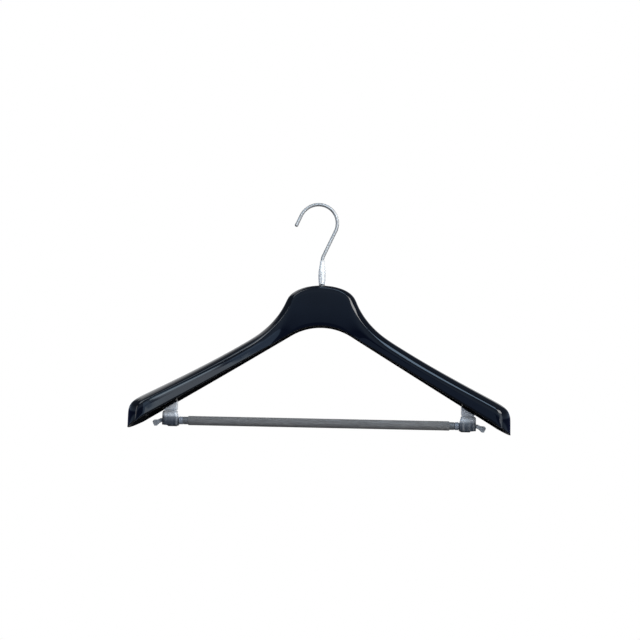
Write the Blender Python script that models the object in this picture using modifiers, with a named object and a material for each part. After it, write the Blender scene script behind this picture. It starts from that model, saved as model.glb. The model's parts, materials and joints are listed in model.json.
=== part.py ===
"""Plastic suit hanger with a swivel hook and a trouser bar that rolls in its brackets.

Metres, +Z up, front towards -Y. The origin is where a rail touches the crown of the hook.
The swivel axis stands CROOK_OFFSET to the right of it, and the two arms mirror about that axis.
"""

from math import cos, hypot, pi, radians, sin, sqrt, tan

import bmesh
import bpy
from mathutils import Matrix

# Gaps and cuts
GAP = 0.0003
OVERRUN = 0.002
MERGE = 0.00001

# Hook wire
WIRE_RADIUS = 0.0020
CROOK_RADIUS = 0.0222
CROOK_OFFSET = 0.0056
CROOK_SLANT_DEG = 24.5
TIP_LENGTH = 0.0148
TIP_BULGE_SHARE = 1.10
KINK_RADIUS = 0.0130

# Ferrule between the kink and the neck
FERRULE_LENGTH = 0.0282
FERRULE_TOP_RADIUS = 0.0027
FERRULE_BELLY_RADIUS = 0.0043
FERRULE_FOOT_RADIUS = 0.0037
FERRULE_BELLY_SHARE = 0.52

# Boss, washer and nut inside the neck
BOSS_RADIUS = 0.0062
BOSS_LENGTH = 0.0240
WASHER_RADIUS = 0.0060
WASHER_THICK = 0.0010
NUT_RADIUS = 0.0044
NUT_HEIGHT = 0.0042
WIRE_END_PROUD = 0.0010

# Shell seen from the front: drops are measured down from the neck's top
SPAN = 0.430
NECK_HALF_WIDTH = 0.0407
NECK_SIDE_DROP = 0.0190
ARM_START = 0.087
ARM_START_DROP = 0.0684
ARM_SLOPE_DEG = 29.3
END_ROUND = 0.0106
END_CORNER_HEIGHT = 0.0168
ARCH_DROP = 0.0490
ARCH_RADIUS = 0.0662
UNDER_SLOPE_DEG = 31.6
CROWN_SHARES = ((0, 0), (0.530, 0), (0.940, 0.400), (1, 1))
FLARE_SHARES = ((0, 0), (0.100, 0.228), (0.356, 0.666), (1, 1))
ARM_SHARES = ((0, 0), (0.329, 0.369), (0.702, 0.718), (1, 1))
CORNER_SHARES = ((0, 0), (0.546, 0.288), (1, 0.425), (1, 1))

# Shell seen from above
PANEL_HALF_WIDTH = 0.030
NECK_HALF_DEPTH = 0.0110
END_HALF_DEPTH = 0.0240
BOW = 0.024
BOW_POWER = 1.6
DEPTH_POWER = 1.2

# Shell section: how far the crease lies inside the outline, and how the roll starts there
CREASE_AT_TOP = 0.0040
CREASE_AT_WAIST = 0.0076
CREASE_AT_ARM = 0.0066
CREASE_AT_END = 0.0134
ROLL_SHARE = 0.60
FACE_CROWN_SHARE = 0.045
CROWN_RUN = 0.060
WALL = 0.0024

# Ribs and bracket sockets inside the shell
RIB_THICK = 0.0016
RIB_RECESS = 0.0030
RIB_PLACE_SHARES = (0.095, 0.290, 0.430, 0.570, 0.915)
SOCKET_WALL = 0.0018

# Trouser bar
BRACKET_INSET = 0.047
BAR_BELOW_RIM = 0.0193
TUBE_RADIUS = 0.0044
SLEEVE_RADIUS = 0.00525
SLEEVE_END_INSET = 0.0203
PIN_RADIUS = 0.0022
PIN_GRIP = 0.018

# Bracket: a bell round the bar, a post, a slanted flange and a plug in the shell's socket
BELL_INBOARD = 0.0096
BELL_OUTBOARD = 0.0094
BELL_ABOVE = 0.0110
BELL_BELOW = 0.0052
BELL_DEPTH = 0.0130
BELL_TAPER = 0.0022
BELL_CORNER = 0.0026
HEEL_BELOW = 0.0068
HEEL_INBOARD = 0.0072
HEEL_OUTBOARD = 0.0030
POST_INBOARD = 0.0070
POST_OUTBOARD = 0.0078
POST_DEPTH = 0.0100
FLANGE_THICK = 0.0015
FLANGE_DEPTH = 0.0180
FLANGE_LAP = 0.0004
PLUG_HALF_WIDTH = 0.0060
PLUG_DEPTH = 0.0090
PLUG_LENGTH = 0.0150
EDGE_ROUND = 0.0008

# Bush in the bracket
BUSH_RADIUS = 0.0035
BUSH_FLANGE_RADIUS = 0.0045
BUSH_FLANGE_LENGTH = 0.0045

# Skirt hook: a fishtail on a pin
TAIL_LENGTH = 0.0100
TAIL_NECK_WIDTH = 0.0044
TAIL_END_WIDTH = 0.0074
TAIL_THICK = 0.0036
TAIL_CORNER = 0.0016
TAIL_DROOP_DEG = 25
TAIL_FLARE_SHARES = (0.34, 0.74)
TAIL_DISH_SHARES = (0.50, 0.86)
TAIL_DISH_WIDTH = 0.0030
TAIL_WEB = 0.0016

# Mesh density
CROWN_STEPS = 7
FLARE_STEPS = 7
ARM_STEPS = 8
CORNER_STEPS = 4
END_STEPS = 3
FACE_ROWS = 3
ROLL_ROWS = 4
ARC_STEP_DEG = 9
CORNER_ARC_STEPS = 3
ROUND_STEPS = 16
TIP_ANGLES_DEG = (20, 45, 70, 90)
SMOOTH_ANGLE_DEG = 28

# Sizes that follow
HALF_SPAN = SPAN / 2
BRACKET_X = HALF_SPAN - BRACKET_INSET
WIRE_HOLE = WIRE_RADIUS + GAP
PIN_HOLE = PIN_RADIUS + GAP
BELL_FACE = BRACKET_X - BELL_INBOARD
BELL_BACK = BRACKET_X + BELL_OUTBOARD
BUSH_END = BELL_FACE - GAP - BUSH_FLANGE_LENGTH
CROOK_CENTRE_Z = WIRE_RADIUS - CROOK_RADIUS


def clear_scene():
    for item in list(bpy.data.objects):
        bpy.data.objects.remove(item, do_unlink=True)


def new_collection(name):
    group = bpy.data.collections.new(name)
    bpy.context.scene.collection.children.link(group)
    return group


clear_scene()
PARTS = new_collection("plastic_suit_hanger")
CUTTERS = new_collection("cutters")


def material(name, colour, roughness, metallic=0.0, transmission=0.0):
    made = bpy.data.materials.new(name)
    made.use_nodes = True
    shader = made.node_tree.nodes["Principled BSDF"]
    shader.inputs["Base Color"].default_value = (*colour, 1)
    shader.inputs["Roughness"].default_value = roughness
    shader.inputs["Metallic"].default_value = metallic
    shader.inputs["Transmission Weight"].default_value = transmission
    made.diffuse_color = (*colour, 1)
    return made


def kept(obj, made, parent):
    """Puts a finished piece in the parts collection, under its parent."""
    for group in list(obj.users_collection):
        group.objects.unlink(obj)
    PARTS.objects.link(obj)
    obj.data.materials.clear()
    obj.data.materials.append(made)
    obj.parent = parent
    obj.hide_render = False
    obj.display_type = "TEXTURED"
    return obj


def helper(obj):
    """Marks an object that only cuts or joins."""
    obj.hide_render = True
    obj.display_type = "WIRE"
    return obj


def from_bmesh(name, shape):
    mesh = bpy.data.meshes.new(name)
    shape.to_mesh(mesh)
    shape.free()
    obj = bpy.data.objects.new(name, mesh)
    CUTTERS.objects.link(obj)
    return helper(obj)


def smooth(obj):
    obj.data.shade_smooth()
    obj.data.set_sharp_from_angle(angle=radians(SMOOTH_ANGLE_DEG))
    return obj


def evaluated_copy(obj, name):
    """A plain welded mesh of what the object shows, placed where it stands; the object goes."""
    bpy.context.view_layer.update()
    seen = obj.evaluated_get(bpy.context.evaluated_depsgraph_get())
    mesh = bpy.data.meshes.new_from_object(seen)
    shape = bmesh.new()
    shape.from_mesh(mesh)
    bmesh.ops.remove_doubles(shape, verts=shape.verts, dist=MERGE)
    bmesh.ops.recalc_face_normals(shape, faces=shape.faces)
    place = obj.matrix_world.copy()
    bpy.data.objects.remove(obj, do_unlink=True)
    made = from_bmesh(name, shape)
    made.matrix_world = place
    return made


def boolean(target, other, operation):
    step = target.modifiers.new(operation.lower() + "_" + other.name, "BOOLEAN")
    step.operation = operation
    step.solver = "EXACT"
    step.object = other


def box(name, low, high):
    """A block between two corners."""
    shape = bmesh.new()
    bmesh.ops.create_cube(shape, size=1)
    size = [b - a for a, b in zip(low, high)]
    centre = [(a + b) / 2 for a, b in zip(low, high)]
    bmesh.ops.transform(
        shape, matrix=Matrix.Translation(centre) @ Matrix.Diagonal((*size, 1)), verts=shape.verts
    )
    return from_bmesh(name, shape)


def rod(name, radius, low, high, place, turn=Matrix()):
    """A cylinder along its own Z from low to high, turned and then placed."""
    shape = bmesh.new()
    bmesh.ops.create_cone(
        shape, cap_ends=True, segments=ROUND_STEPS, radius1=radius, radius2=radius, depth=high - low
    )
    lift = Matrix.Translation((0, 0, (low + high) / 2))
    bmesh.ops.transform(shape, matrix=Matrix.Translation(place) @ turn @ lift, verts=shape.verts)
    return from_bmesh(name, shape)


def turned(name, profile):
    """A closed profile of radius and height, turned about Z."""
    shape = bmesh.new()
    ring = [shape.verts.new((radius, 0, height)) for radius, height in profile]
    for start, end in zip(ring, ring[1:] + ring[:1]):
        shape.edges.new((start, end))
    obj = from_bmesh(name, shape)
    screw = obj.modifiers.new("screw", "SCREW")
    screw.steps = ROUND_STEPS
    screw.render_steps = ROUND_STEPS
    screw.use_merge_vertices = True
    screw.merge_threshold = MERGE
    return obj


def ring_profile(outer, inner, low, high):
    """Profile of a plain tube, down the outside and up the bore."""
    return [(outer, high), (outer, low), (inner, low), (inner, high)]


def flat(name, outline, thickness, centre_y):
    """An outline in X and Z, made thick along Y."""
    curve = bpy.data.curves.new(name, "CURVE")
    curve.dimensions = "2D"
    curve.fill_mode = "BOTH"
    curve.extrude = thickness / 2
    spline = curve.splines.new("POLY")
    spline.points.add(len(outline) - 1)
    for point, (x, z) in zip(spline.points, outline):
        point.co = (x, z, 0, 1)
    spline.use_cyclic_u = True
    obj = bpy.data.objects.new(name, curve)
    CUTTERS.objects.link(obj)
    obj.rotation_euler = (pi / 2, 0, 0)
    obj.location = (0, centre_y, 0)
    return evaluated_copy(obj, name)


def rounded(corners):
    """An outline from corners of x, z and radius, each round one as an arc."""
    outline = []
    for index, (x, z, radius) in enumerate(corners):
        before = corners[index - 1]
        after = corners[(index + 1) % len(corners)]
        if radius == 0:
            outline.append((x, z))
            continue
        outline.extend(corner_arc(before, (x, z), after, radius))
    return outline


def corner_arc(before, corner, after, radius):
    """Points of an arc that touches both sides of a corner."""
    x, z = corner
    back = unit(before[0] - x, before[1] - z)
    ahead = unit(after[0] - x, after[1] - z)
    along = back[0] * ahead[0] + back[1] * ahead[1]
    half_sine = sqrt((1 - along) / 2)
    half_cosine = sqrt((1 + along) / 2)
    reach = radius * half_cosine / half_sine
    middle = unit(back[0] + ahead[0], back[1] + ahead[1])
    centre = (x + middle[0] * radius / half_sine, z + middle[1] * radius / half_sine)
    start = (x + back[0] * reach - centre[0], z + back[1] * reach - centre[1])
    end = (x + ahead[0] * reach - centre[0], z + ahead[1] * reach - centre[1])
    points = []
    for step in range(CORNER_ARC_STEPS + 1):
        share = step / CORNER_ARC_STEPS
        way = unit(start[0] * (1 - share) + end[0] * share, start[1] * (1 - share) + end[1] * share)
        points.append((centre[0] + way[0] * radius, centre[1] + way[1] * radius))
    return points


def unit(x, z):
    length = hypot(x, z)
    return x / length, z / length


def mix(start, end, share):
    return start + (end - start) * share


def ease(share):
    share = min(max(share, 0), 1)
    return share * share * (3 - 2 * share)


def bezier(shares, share):
    """A point on a cubic curve whose four points are given as shares of its box."""
    rest = 1 - share
    weights = (rest**3, 3 * rest**2 * share, 3 * rest * share**2, share**3)
    across = sum(weight * point[0] for weight, point in zip(weights, shares))
    down = sum(weight * point[1] for weight, point in zip(weights, shares))
    return across, down


# Hook


def kink_height():
    """Where the slanted wire meets the swivel axis."""
    slant = radians(CROOK_SLANT_DEG)
    start_x = CROOK_RADIUS * cos(slant) - CROOK_OFFSET
    start_z = CROOK_CENTRE_Z - CROOK_RADIUS * sin(slant)
    return start_z - start_x / tan(slant)


def kink_end_height():
    return kink_height() - KINK_RADIUS * tan(radians(CROOK_SLANT_DEG) / 2)


FERRULE_TOP_Z = kink_end_height() - GAP
FERRULE_FOOT_Z = FERRULE_TOP_Z - FERRULE_LENGTH
NECK_TOP_Z = FERRULE_FOOT_Z - GAP
BOSS_FOOT_Z = NECK_TOP_Z - BOSS_LENGTH
WASHER_TOP_Z = BOSS_FOOT_Z - GAP
NUT_TOP_Z = WASHER_TOP_Z - WASHER_THICK - GAP
WIRE_END_Z = NUT_TOP_Z - NUT_HEIGHT - WIRE_END_PROUD


def wire_tip():
    """The rounded tip and the straight run up to the crook, as x, z and radius share."""
    slant = radians(CROOK_SLANT_DEG)
    start_x = -CROOK_OFFSET - CROOK_RADIUS * cos(slant)
    start_z = CROOK_CENTRE_Z + CROOK_RADIUS * sin(slant)
    points = []
    for angle in TIP_ANGLES_DEG:
        back = TIP_LENGTH - WIRE_RADIUS * (1 - cos(radians(angle)))
        share = sin(radians(angle)) * TIP_BULGE_SHARE
        points.append((start_x - back * sin(slant), start_z - back * cos(slant), share))
    plain = TIP_LENGTH - WIRE_RADIUS * 2
    points.append((start_x - plain * sin(slant), start_z - plain * cos(slant), 1))
    return points


def wire_crook():
    """The round crook, clockwise from its left end to the slanted neck."""
    first = 180 - CROOK_SLANT_DEG
    steps = round(180 / ARC_STEP_DEG)
    points = []
    for step in range(steps + 1):
        angle = radians(first - 180 * step / steps)
        x = CROOK_RADIUS * cos(angle) - CROOK_OFFSET
        z = CROOK_RADIUS * sin(angle) + CROOK_CENTRE_Z
        points.append((x, z, 1))
    return points


def wire_kink():
    """The small bend from the slant into the straight shaft."""
    steps = max(round(CROOK_SLANT_DEG / ARC_STEP_DEG), 1)
    points = []
    for step in range(steps + 1):
        angle = radians(CROOK_SLANT_DEG * (1 - step / steps))
        x = KINK_RADIUS * (1 - cos(angle))
        z = kink_end_height() + KINK_RADIUS * sin(angle)
        points.append((x, z, 1))
    return points


def build_hook_wire():
    route = wire_tip() + wire_crook() + wire_kink() + [(0, WIRE_END_Z, 1)]
    curve = bpy.data.curves.new("hook_wire", "CURVE")
    curve.dimensions = "3D"
    curve.bevel_depth = WIRE_RADIUS
    curve.bevel_resolution = 2
    curve.use_fill_caps = True
    spline = curve.splines.new("POLY")
    spline.points.add(len(route) - 1)
    for point, (x, z, share) in zip(spline.points, route):
        point.co = (x, 0, z, 1)
        point.radius = share
    spline.use_smooth = True
    obj = bpy.data.objects.new("hook_wire", curve)
    PARTS.objects.link(obj)
    return obj


def ferrule_radius(share):
    """Outer radius of the spindle at a share of its length from the top."""
    if share < FERRULE_BELLY_SHARE:
        return mix(FERRULE_TOP_RADIUS, FERRULE_BELLY_RADIUS, ease(share / FERRULE_BELLY_SHARE))
    below = (share - FERRULE_BELLY_SHARE) / (1 - FERRULE_BELLY_SHARE)
    return mix(FERRULE_BELLY_RADIUS, FERRULE_FOOT_RADIUS, below**2)


def build_ferrule():
    profile = []
    for step in range(ROUND_STEPS + 1):
        share = step / ROUND_STEPS
        profile.append((ferrule_radius(share), mix(FERRULE_TOP_Z, FERRULE_FOOT_Z, share)))
    profile.append((WIRE_HOLE, FERRULE_FOOT_Z))
    profile.append((WIRE_HOLE, FERRULE_TOP_Z))
    return smooth_turned("hook_ferrule", profile)


def smooth_turned(name, profile):
    """A turned piece; the screw modifier shades its own faces smooth."""
    obj = turned(name, profile)
    obj.modifiers["screw"].use_smooth_shade = True
    return obj


def build_washer():
    low = WASHER_TOP_Z - WASHER_THICK
    return turned("hook_washer", ring_profile(WASHER_RADIUS, WIRE_HOLE, low, WASHER_TOP_Z))


def build_nut():
    low = NUT_TOP_Z - NUT_HEIGHT
    step = NUT_HEIGHT / 3
    crown = mix(NUT_RADIUS, WIRE_HOLE, 1 / 2)
    profile = [
        (NUT_RADIUS, NUT_TOP_Z),
        (NUT_RADIUS, low + step),
        (crown, low),
        (WIRE_HOLE, low),
        (WIRE_HOLE, NUT_TOP_Z),
    ]
    return turned("hook_nut", profile)


# Shell


def rim_drop(x):
    """Drop of the lower rim: a round arch that runs into the straight underside."""
    slope = radians(UNDER_SLOPE_DEG)
    arch_half = ARCH_RADIUS * sin(slope)
    if x <= arch_half:
        return ARCH_DROP + ARCH_RADIUS - sqrt(ARCH_RADIUS**2 - x**2)
    return ARCH_DROP + ARCH_RADIUS * (1 - cos(slope)) + (x - arch_half) * tan(slope)


def reach_share(x):
    """How far along the bowed arm x lies: 0 on the flat panel, 1 at the end."""
    return max(x - PANEL_HALF_WIDTH, 0) / (HALF_SPAN - PANEL_HALF_WIDTH)


def middle_y(x):
    return -BOW * reach_share(x) ** BOW_POWER


def half_depth(x):
    return mix(NECK_HALF_DEPTH, END_HALF_DEPTH, reach_share(x) ** DEPTH_POWER)


def crown_stations():
    """Outline points from the neck's top to its side, as x, drop, crease inset and rim x."""
    rim_share = 1 / sqrt(2)
    rows = []
    for step in range(CROWN_STEPS):
        share = step / CROWN_STEPS
        across, down = bezier(CROWN_SHARES, share)
        x = NECK_HALF_WIDTH * across
        inset = mix(CREASE_AT_TOP, CREASE_AT_WAIST, share**2)
        rows.append((x, NECK_SIDE_DROP * down, inset, x * rim_share))
    return rows


def flare_stations():
    """Outline points from the neck's side to the start of the straight arm."""
    rim_start = NECK_HALF_WIDTH / sqrt(2)
    rim_end = ARM_START - arm_lean(ARM_START, ARM_START_DROP)
    rows = []
    for step in range(FLARE_STEPS):
        share = step / FLARE_STEPS
        across, down = bezier(FLARE_SHARES, share)
        x = mix(NECK_HALF_WIDTH, ARM_START, across)
        drop = mix(NECK_SIDE_DROP, ARM_START_DROP, down)
        inset = mix(CREASE_AT_WAIST, CREASE_AT_ARM, share)
        rows.append((x, drop, inset, mix(rim_start, rim_end, share)))
    return rows


def arm_lean(x, drop):
    """How far inboard the rim point lies that faces an outline point squarely."""
    slope = radians(ARM_SLOPE_DEG)
    return (rim_drop(x) - drop) * sin(slope) * cos(slope)


def arm_end():
    """Where the end's round corner starts, as x and drop."""
    x = HALF_SPAN - END_ROUND
    return x, ARM_START_DROP + (x - ARM_START) * tan(radians(ARM_SLOPE_DEG))


def arm_stations():
    end_x, end_drop = arm_end()
    rows = []
    for step in range(ARM_STEPS):
        share = step / ARM_STEPS
        across, down = bezier(ARM_SHARES, share)
        x = mix(ARM_START, end_x, across)
        drop = mix(ARM_START_DROP, end_drop, down)
        inset = mix(CREASE_AT_ARM, CREASE_AT_END, share)
        rows.append((x, drop, inset, x - arm_lean(x, drop)))
    return rows


def corner_stations():
    """Outline points round the end's top corner."""
    end_x, end_drop = arm_end()
    rim_start = end_x - arm_lean(end_x, end_drop)
    rim_end = mix(rim_start, last_rim_x(), 1 / 2)
    rows = []
    for step in range(CORNER_STEPS):
        share = step / CORNER_STEPS
        across, down = bezier(CORNER_SHARES, share)
        x = mix(end_x, HALF_SPAN, across)
        drop = end_drop + END_CORNER_HEIGHT * down
        rows.append((x, drop, CREASE_AT_END, mix(rim_start, rim_end, share)))
    return rows


def last_rim_x():
    """Where the crease meets the rim at the end of the arm."""
    return HALF_SPAN - CREASE_AT_END * cos(radians(UNDER_SLOPE_DEG))


def end_stations():
    """Outline points down the upright end, to the rim."""
    end_x, end_drop = arm_end()
    top_drop = end_drop + END_CORNER_HEIGHT
    rim_start = mix(end_x - arm_lean(end_x, end_drop), last_rim_x(), 1 / 2)
    rows = []
    for step in range(END_STEPS + 1):
        share = step / END_STEPS
        drop = mix(top_drop, rim_drop(HALF_SPAN), share)
        rows.append((HALF_SPAN, drop, CREASE_AT_END, mix(rim_start, last_rim_x(), share)))
    return rows


def stations():
    rows = crown_stations() + flare_stations() + arm_stations() + corner_stations()
    return rows + end_stations()


def inward(rows, index):
    """Unit direction in x and drop from an outline point towards the shell's middle."""
    if index == 0:
        return 0, 1
    first_end = len(rows) - END_STEPS - 1
    if index >= first_end:
        tilt = radians(UNDER_SLOPE_DEG) * (index - first_end) / END_STEPS
        return -cos(tilt), -sin(tilt)
    before = rows[index - 1]
    after = rows[index + 1]
    along = unit(after[0] - before[0], after[1] - before[1])
    return -along[1], along[0]


def roll_points(crease, crest, side):
    """The round shoulder from the crease at one face up to the crest, without the crest."""
    crest_y = middle_y(crest[0])
    control_y = crest_y + side * half_depth(crest[0]) * ROLL_SHARE
    crease_y = middle_y(crease[0]) + side * half_depth(crease[0])
    points = []
    for step in range(ROLL_ROWS):
        share = step / ROLL_ROWS
        rest = 1 - share
        early = rest**2
        late = 1 - early
        x = crease[0] * early + crest[0] * late
        drop = crease[1] * early + crest[1] * late
        y = crease_y * early + control_y * 2 * rest * share + crest_y * share**2
        points.append((x, y, drop))
    return points


def face_points(rim_x, crease, side):
    """One face from the rim up to the crease, without the crease, slightly crowned."""
    height = hypot(crease[0] - rim_x, crease[1] - rim_drop(rim_x))
    points = []
    for step in range(FACE_ROWS):
        share = step / FACE_ROWS
        x = mix(rim_x, crease[0], share)
        drop = mix(rim_drop(rim_x), crease[1], share)
        crown = FACE_CROWN_SHARE * height * ease((x - PANEL_HALF_WIDTH) / CROWN_RUN) * 4 * share * (1 - share)
        points.append((x, middle_y(x) + side * (half_depth(x) + crown), drop))
    return points


def section(rows, index, inset):
    """One line of the shell from the front rim over the crest to the back rim.

    The inset moves the whole line inside the outer skin, for the body that trims the ribs.
    """
    x, drop, crease_inset, rim_x = rows[index]
    way = inward(rows, index)
    crease = (x + way[0] * crease_inset, drop + way[1] * crease_inset)
    front = face_points(rim_x, crease, -1) + roll_points(crease, (x, drop), -1)
    back = face_points(rim_x, crease, 1) + roll_points(crease, (x, drop), 1)
    line = front + [(x, middle_y(x), drop)] + back[::-1]
    return [inside(point, way, inset) for point in line]


def inside(point, way, inset):
    """A point of the skin moved in from its outline and from its nearer face."""
    x, y, drop = point
    depth_share = (y - middle_y(x)) / half_depth(x)
    return x + way[0] * inset, y - depth_share * inset, drop + way[1] * inset


def skin_grid(shape, inset):
    """Right half of the skin as a grid of quads; returns the vertex lines."""
    rows = stations()
    lines = []
    for index in range(len(rows)):
        line = section(rows, index, inset)
        lines.append([shape.verts.new((x, y, NECK_TOP_Z - drop)) for x, y, drop in line])
    for left, right in zip(lines, lines[1:]):
        for step in range(len(left) - 1):
            shape.faces.new((left[step], right[step], right[step + 1], left[step + 1]))
    return lines


def closed_core():
    """The solid body halfway through the shell's wall, which trims the ribs."""
    shape = bmesh.new()
    lines = skin_grid(shape, WALL / 2)
    for left, right in zip(lines, lines[1:]):
        shape.faces.new((left[-1], right[-1], right[0], left[0]))
    shape.faces.new(lines[-1])
    bmesh.ops.remove_doubles(shape, verts=shape.verts, dist=MERGE)
    bmesh.ops.recalc_face_normals(shape, faces=shape.faces)
    core = from_bmesh("rib_trim", shape)
    mirror_in_x(core)
    return core


def mirror_in_x(obj):
    mirror = obj.modifiers.new("mirror", "MIRROR")
    mirror.use_clip = True
    mirror.merge_threshold = MERGE


def rim_z(x):
    return NECK_TOP_Z - rim_drop(abs(x))


def rib(side, x):
    """A cross rib at a distance x from the axis, a little short of the rim."""
    half = RIB_THICK / 2
    low_z = rim_z(x) + RIB_RECESS
    low_y = middle_y(x) - half_depth(x) - OVERRUN
    high_y = middle_y(x) + half_depth(x) + OVERRUN
    low = (side * x - half, low_y, low_z)
    high = (side * x + half, high_y, NECK_TOP_Z)
    return box("rib", low, high)


def socket_outline(side, half_width):
    """A block over the bracket, whose foot follows the rim's slope."""
    inner = BRACKET_X - half_width
    outer = BRACKET_X + half_width
    top_z = plug_top_z() + GAP + SOCKET_WALL
    return [
        (side * inner, rim_z(inner) + RIB_RECESS),
        (side * outer, rim_z(outer) + RIB_RECESS),
        (side * outer, top_z),
        (side * inner, top_z),
    ]


def bar_y():
    return middle_y(BRACKET_X)


def bar_z():
    return rim_z(BRACKET_X) - BAR_BELOW_RIM


def plug_top_z():
    return rim_z(BRACKET_X) + PLUG_LENGTH


def boss():
    return rod("inner_frame", BOSS_RADIUS, BOSS_FOOT_Z, NECK_TOP_Z + OVERRUN, (0, 0, 0))


def boss_web():
    """A web that stays the boss to the first rib on each side."""
    reach = RIB_PLACE_SHARES[0] * HALF_SPAN
    half = RIB_THICK / 2
    return box("boss_web", (-reach, -half, BOSS_FOOT_Z + WALL), (reach, half, NECK_TOP_Z + 2 * OVERRUN))


def inner_frame():
    """Hook boss, ribs and bracket sockets, trimmed to end halfway through the skin's wall."""
    frame = boss()
    boolean(frame, boss_web(), "UNION")
    socket_half = PLUG_HALF_WIDTH + GAP + SOCKET_WALL
    socket_depth = PLUG_DEPTH + 2 * (GAP + SOCKET_WALL)
    for side in (-1, 1):
        for share in RIB_PLACE_SHARES:
            boolean(frame, rib(side, share * HALF_SPAN), "UNION")
        for edge in (-1, 1):
            boolean(frame, rib(side, BRACKET_X + edge * (socket_half - SOCKET_WALL / 2)), "UNION")
        boolean(frame, flat("socket", socket_outline(side, socket_half), socket_depth, bar_y()), "UNION")
    boolean(frame, closed_core(), "INTERSECT")
    return frame


def cut_inner_frame(shell):
    """The wire's hole and the two bracket sockets."""
    low = BOSS_FOOT_Z - OVERRUN
    boolean(shell, rod("wire_hole", WIRE_HOLE, low, NECK_TOP_Z + OVERRUN, (0, 0, 0)), "DIFFERENCE")
    half = PLUG_HALF_WIDTH + GAP
    half_y = PLUG_DEPTH / 2 + GAP
    low_z = rim_z(BRACKET_X + half) - OVERRUN
    for side in (-1, 1):
        x = side * BRACKET_X
        low = (x - half, bar_y() - half_y, low_z)
        high = (x + half, bar_y() + half_y, plug_top_z() + GAP)
        boolean(shell, box("socket_hole", low, high), "DIFFERENCE")


def build_shell():
    shape = bmesh.new()
    skin_grid(shape, 0)
    bmesh.ops.remove_doubles(shape, verts=shape.verts, dist=MERGE)
    bmesh.ops.recalc_face_normals(shape, faces=shape.faces)
    shell = from_bmesh("hanger_shell", shape)
    smooth(shell)
    mirror_in_x(shell)
    wall = shell.modifiers.new("wall", "SOLIDIFY")
    wall.thickness = WALL
    wall.offset = -1
    wall.use_even_offset = True
    boolean(shell, inner_frame(), "UNION")
    cut_inner_frame(shell)
    return shell


# Brackets


def bell_outline(side):
    """Front outline of the bell round the bar, with its heel."""
    x = BRACKET_X
    z = bar_z()
    corners = [
        (x - BELL_INBOARD + BELL_TAPER, z + BELL_ABOVE, EDGE_ROUND),
        (x + BELL_OUTBOARD, z + BELL_ABOVE, BELL_CORNER),
        (x + BELL_OUTBOARD, z - BELL_BELOW, EDGE_ROUND),
        (x + HEEL_OUTBOARD, z - BELL_BELOW, 0),
        (x + HEEL_OUTBOARD - EDGE_ROUND, z - HEEL_BELOW, EDGE_ROUND),
        (x - HEEL_INBOARD, z - HEEL_BELOW, EDGE_ROUND),
        (x - BELL_INBOARD, z - BELL_BELOW + EDGE_ROUND, EDGE_ROUND),
        (x - BELL_INBOARD, z + BELL_TAPER, EDGE_ROUND),
    ]
    return [(side * px, pz) for px, pz in rounded(corners)]


def flange_z(x):
    """Underside of the slanted flange, which lies along the shell's rim."""
    return rim_z(x) - FLANGE_THICK + FLANGE_LAP


def post_outline(side):
    inner = BRACKET_X - POST_INBOARD
    outer = BRACKET_X + POST_OUTBOARD
    lap = FLANGE_THICK / 2
    low = bar_z() + BELL_ABOVE - OVERRUN
    corners = [(inner, low), (outer, low), (outer, flange_z(outer) + lap), (inner, flange_z(inner) + lap)]
    return [(side * x, z) for x, z in corners]


def flange_outline(side):
    inner = BRACKET_X - POST_INBOARD - EDGE_ROUND
    outer = BRACKET_X + POST_OUTBOARD + EDGE_ROUND
    return [
        (side * inner, flange_z(inner)),
        (side * outer, flange_z(outer)),
        (side * outer, flange_z(outer) + FLANGE_THICK),
        (side * inner, flange_z(inner) + FLANGE_THICK),
    ]


def bracket_plug(side):
    """The plug that fills the shell's socket."""
    x = side * BRACKET_X
    half_y = PLUG_DEPTH / 2
    low_z = flange_z(BRACKET_X + PLUG_HALF_WIDTH) + FLANGE_THICK / 2
    low = (x - PLUG_HALF_WIDTH, bar_y() - half_y, low_z)
    high = (x + PLUG_HALF_WIDTH, bar_y() + half_y, plug_top_z())
    return box("plug", low, high)


def build_bracket(name, side):
    bell = flat(name, bell_outline(side), BELL_DEPTH, bar_y())
    edge = bell.modifiers.new("edge", "BEVEL")
    edge.width = EDGE_ROUND
    edge.segments = 2
    edge.limit_method = "ANGLE"
    edge.angle_limit = radians(60)
    boolean(bell, flat("post", post_outline(side), POST_DEPTH, bar_y()), "UNION")
    boolean(bell, flat("flange", flange_outline(side), FLANGE_DEPTH, bar_y()), "UNION")
    boolean(bell, bracket_plug(side), "UNION")
    low = BELL_FACE - OVERRUN
    high = BELL_BACK + OVERRUN
    bore = rod("bore", BUSH_RADIUS + GAP, low, high, (0, bar_y(), bar_z()), along_x(side))
    boolean(bell, bore, "DIFFERENCE")
    return bell


def along_x(side):
    """Turns a piece's own Z to point outboard on its side."""
    return Matrix.Rotation(side * pi / 2, 4, "Y")


def build_bush(name, side):
    profile = [
        (BUSH_RADIUS, BELL_BACK),
        (BUSH_RADIUS, BELL_FACE - GAP),
        (BUSH_FLANGE_RADIUS, BELL_FACE - GAP),
        (BUSH_FLANGE_RADIUS, BUSH_END),
        (PIN_HOLE, BUSH_END),
        (PIN_HOLE, BELL_BACK),
    ]
    bush = smooth_turned(name, profile)
    bush.location = (0, bar_y(), bar_z())
    bush.rotation_euler = (0, side * pi / 2, 0)
    return bush


# Trouser bar


def tube_along_bar(name, outer, inner, half_length):
    """A tube on the bar's axis, with its origin in the middle."""
    obj = smooth_turned(name, ring_profile(outer, inner, -half_length, half_length))
    obj.rotation_euler = (0, pi / 2, 0)
    return obj


def build_bar_tube():
    return tube_along_bar("bar_tube", TUBE_RADIUS, PIN_HOLE, BUSH_END - GAP)


def build_bar_sleeve():
    half_length = BRACKET_X - SLEEVE_END_INSET
    return tube_along_bar("bar_sleeve", SLEEVE_RADIUS, TUBE_RADIUS + GAP, half_length)


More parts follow.
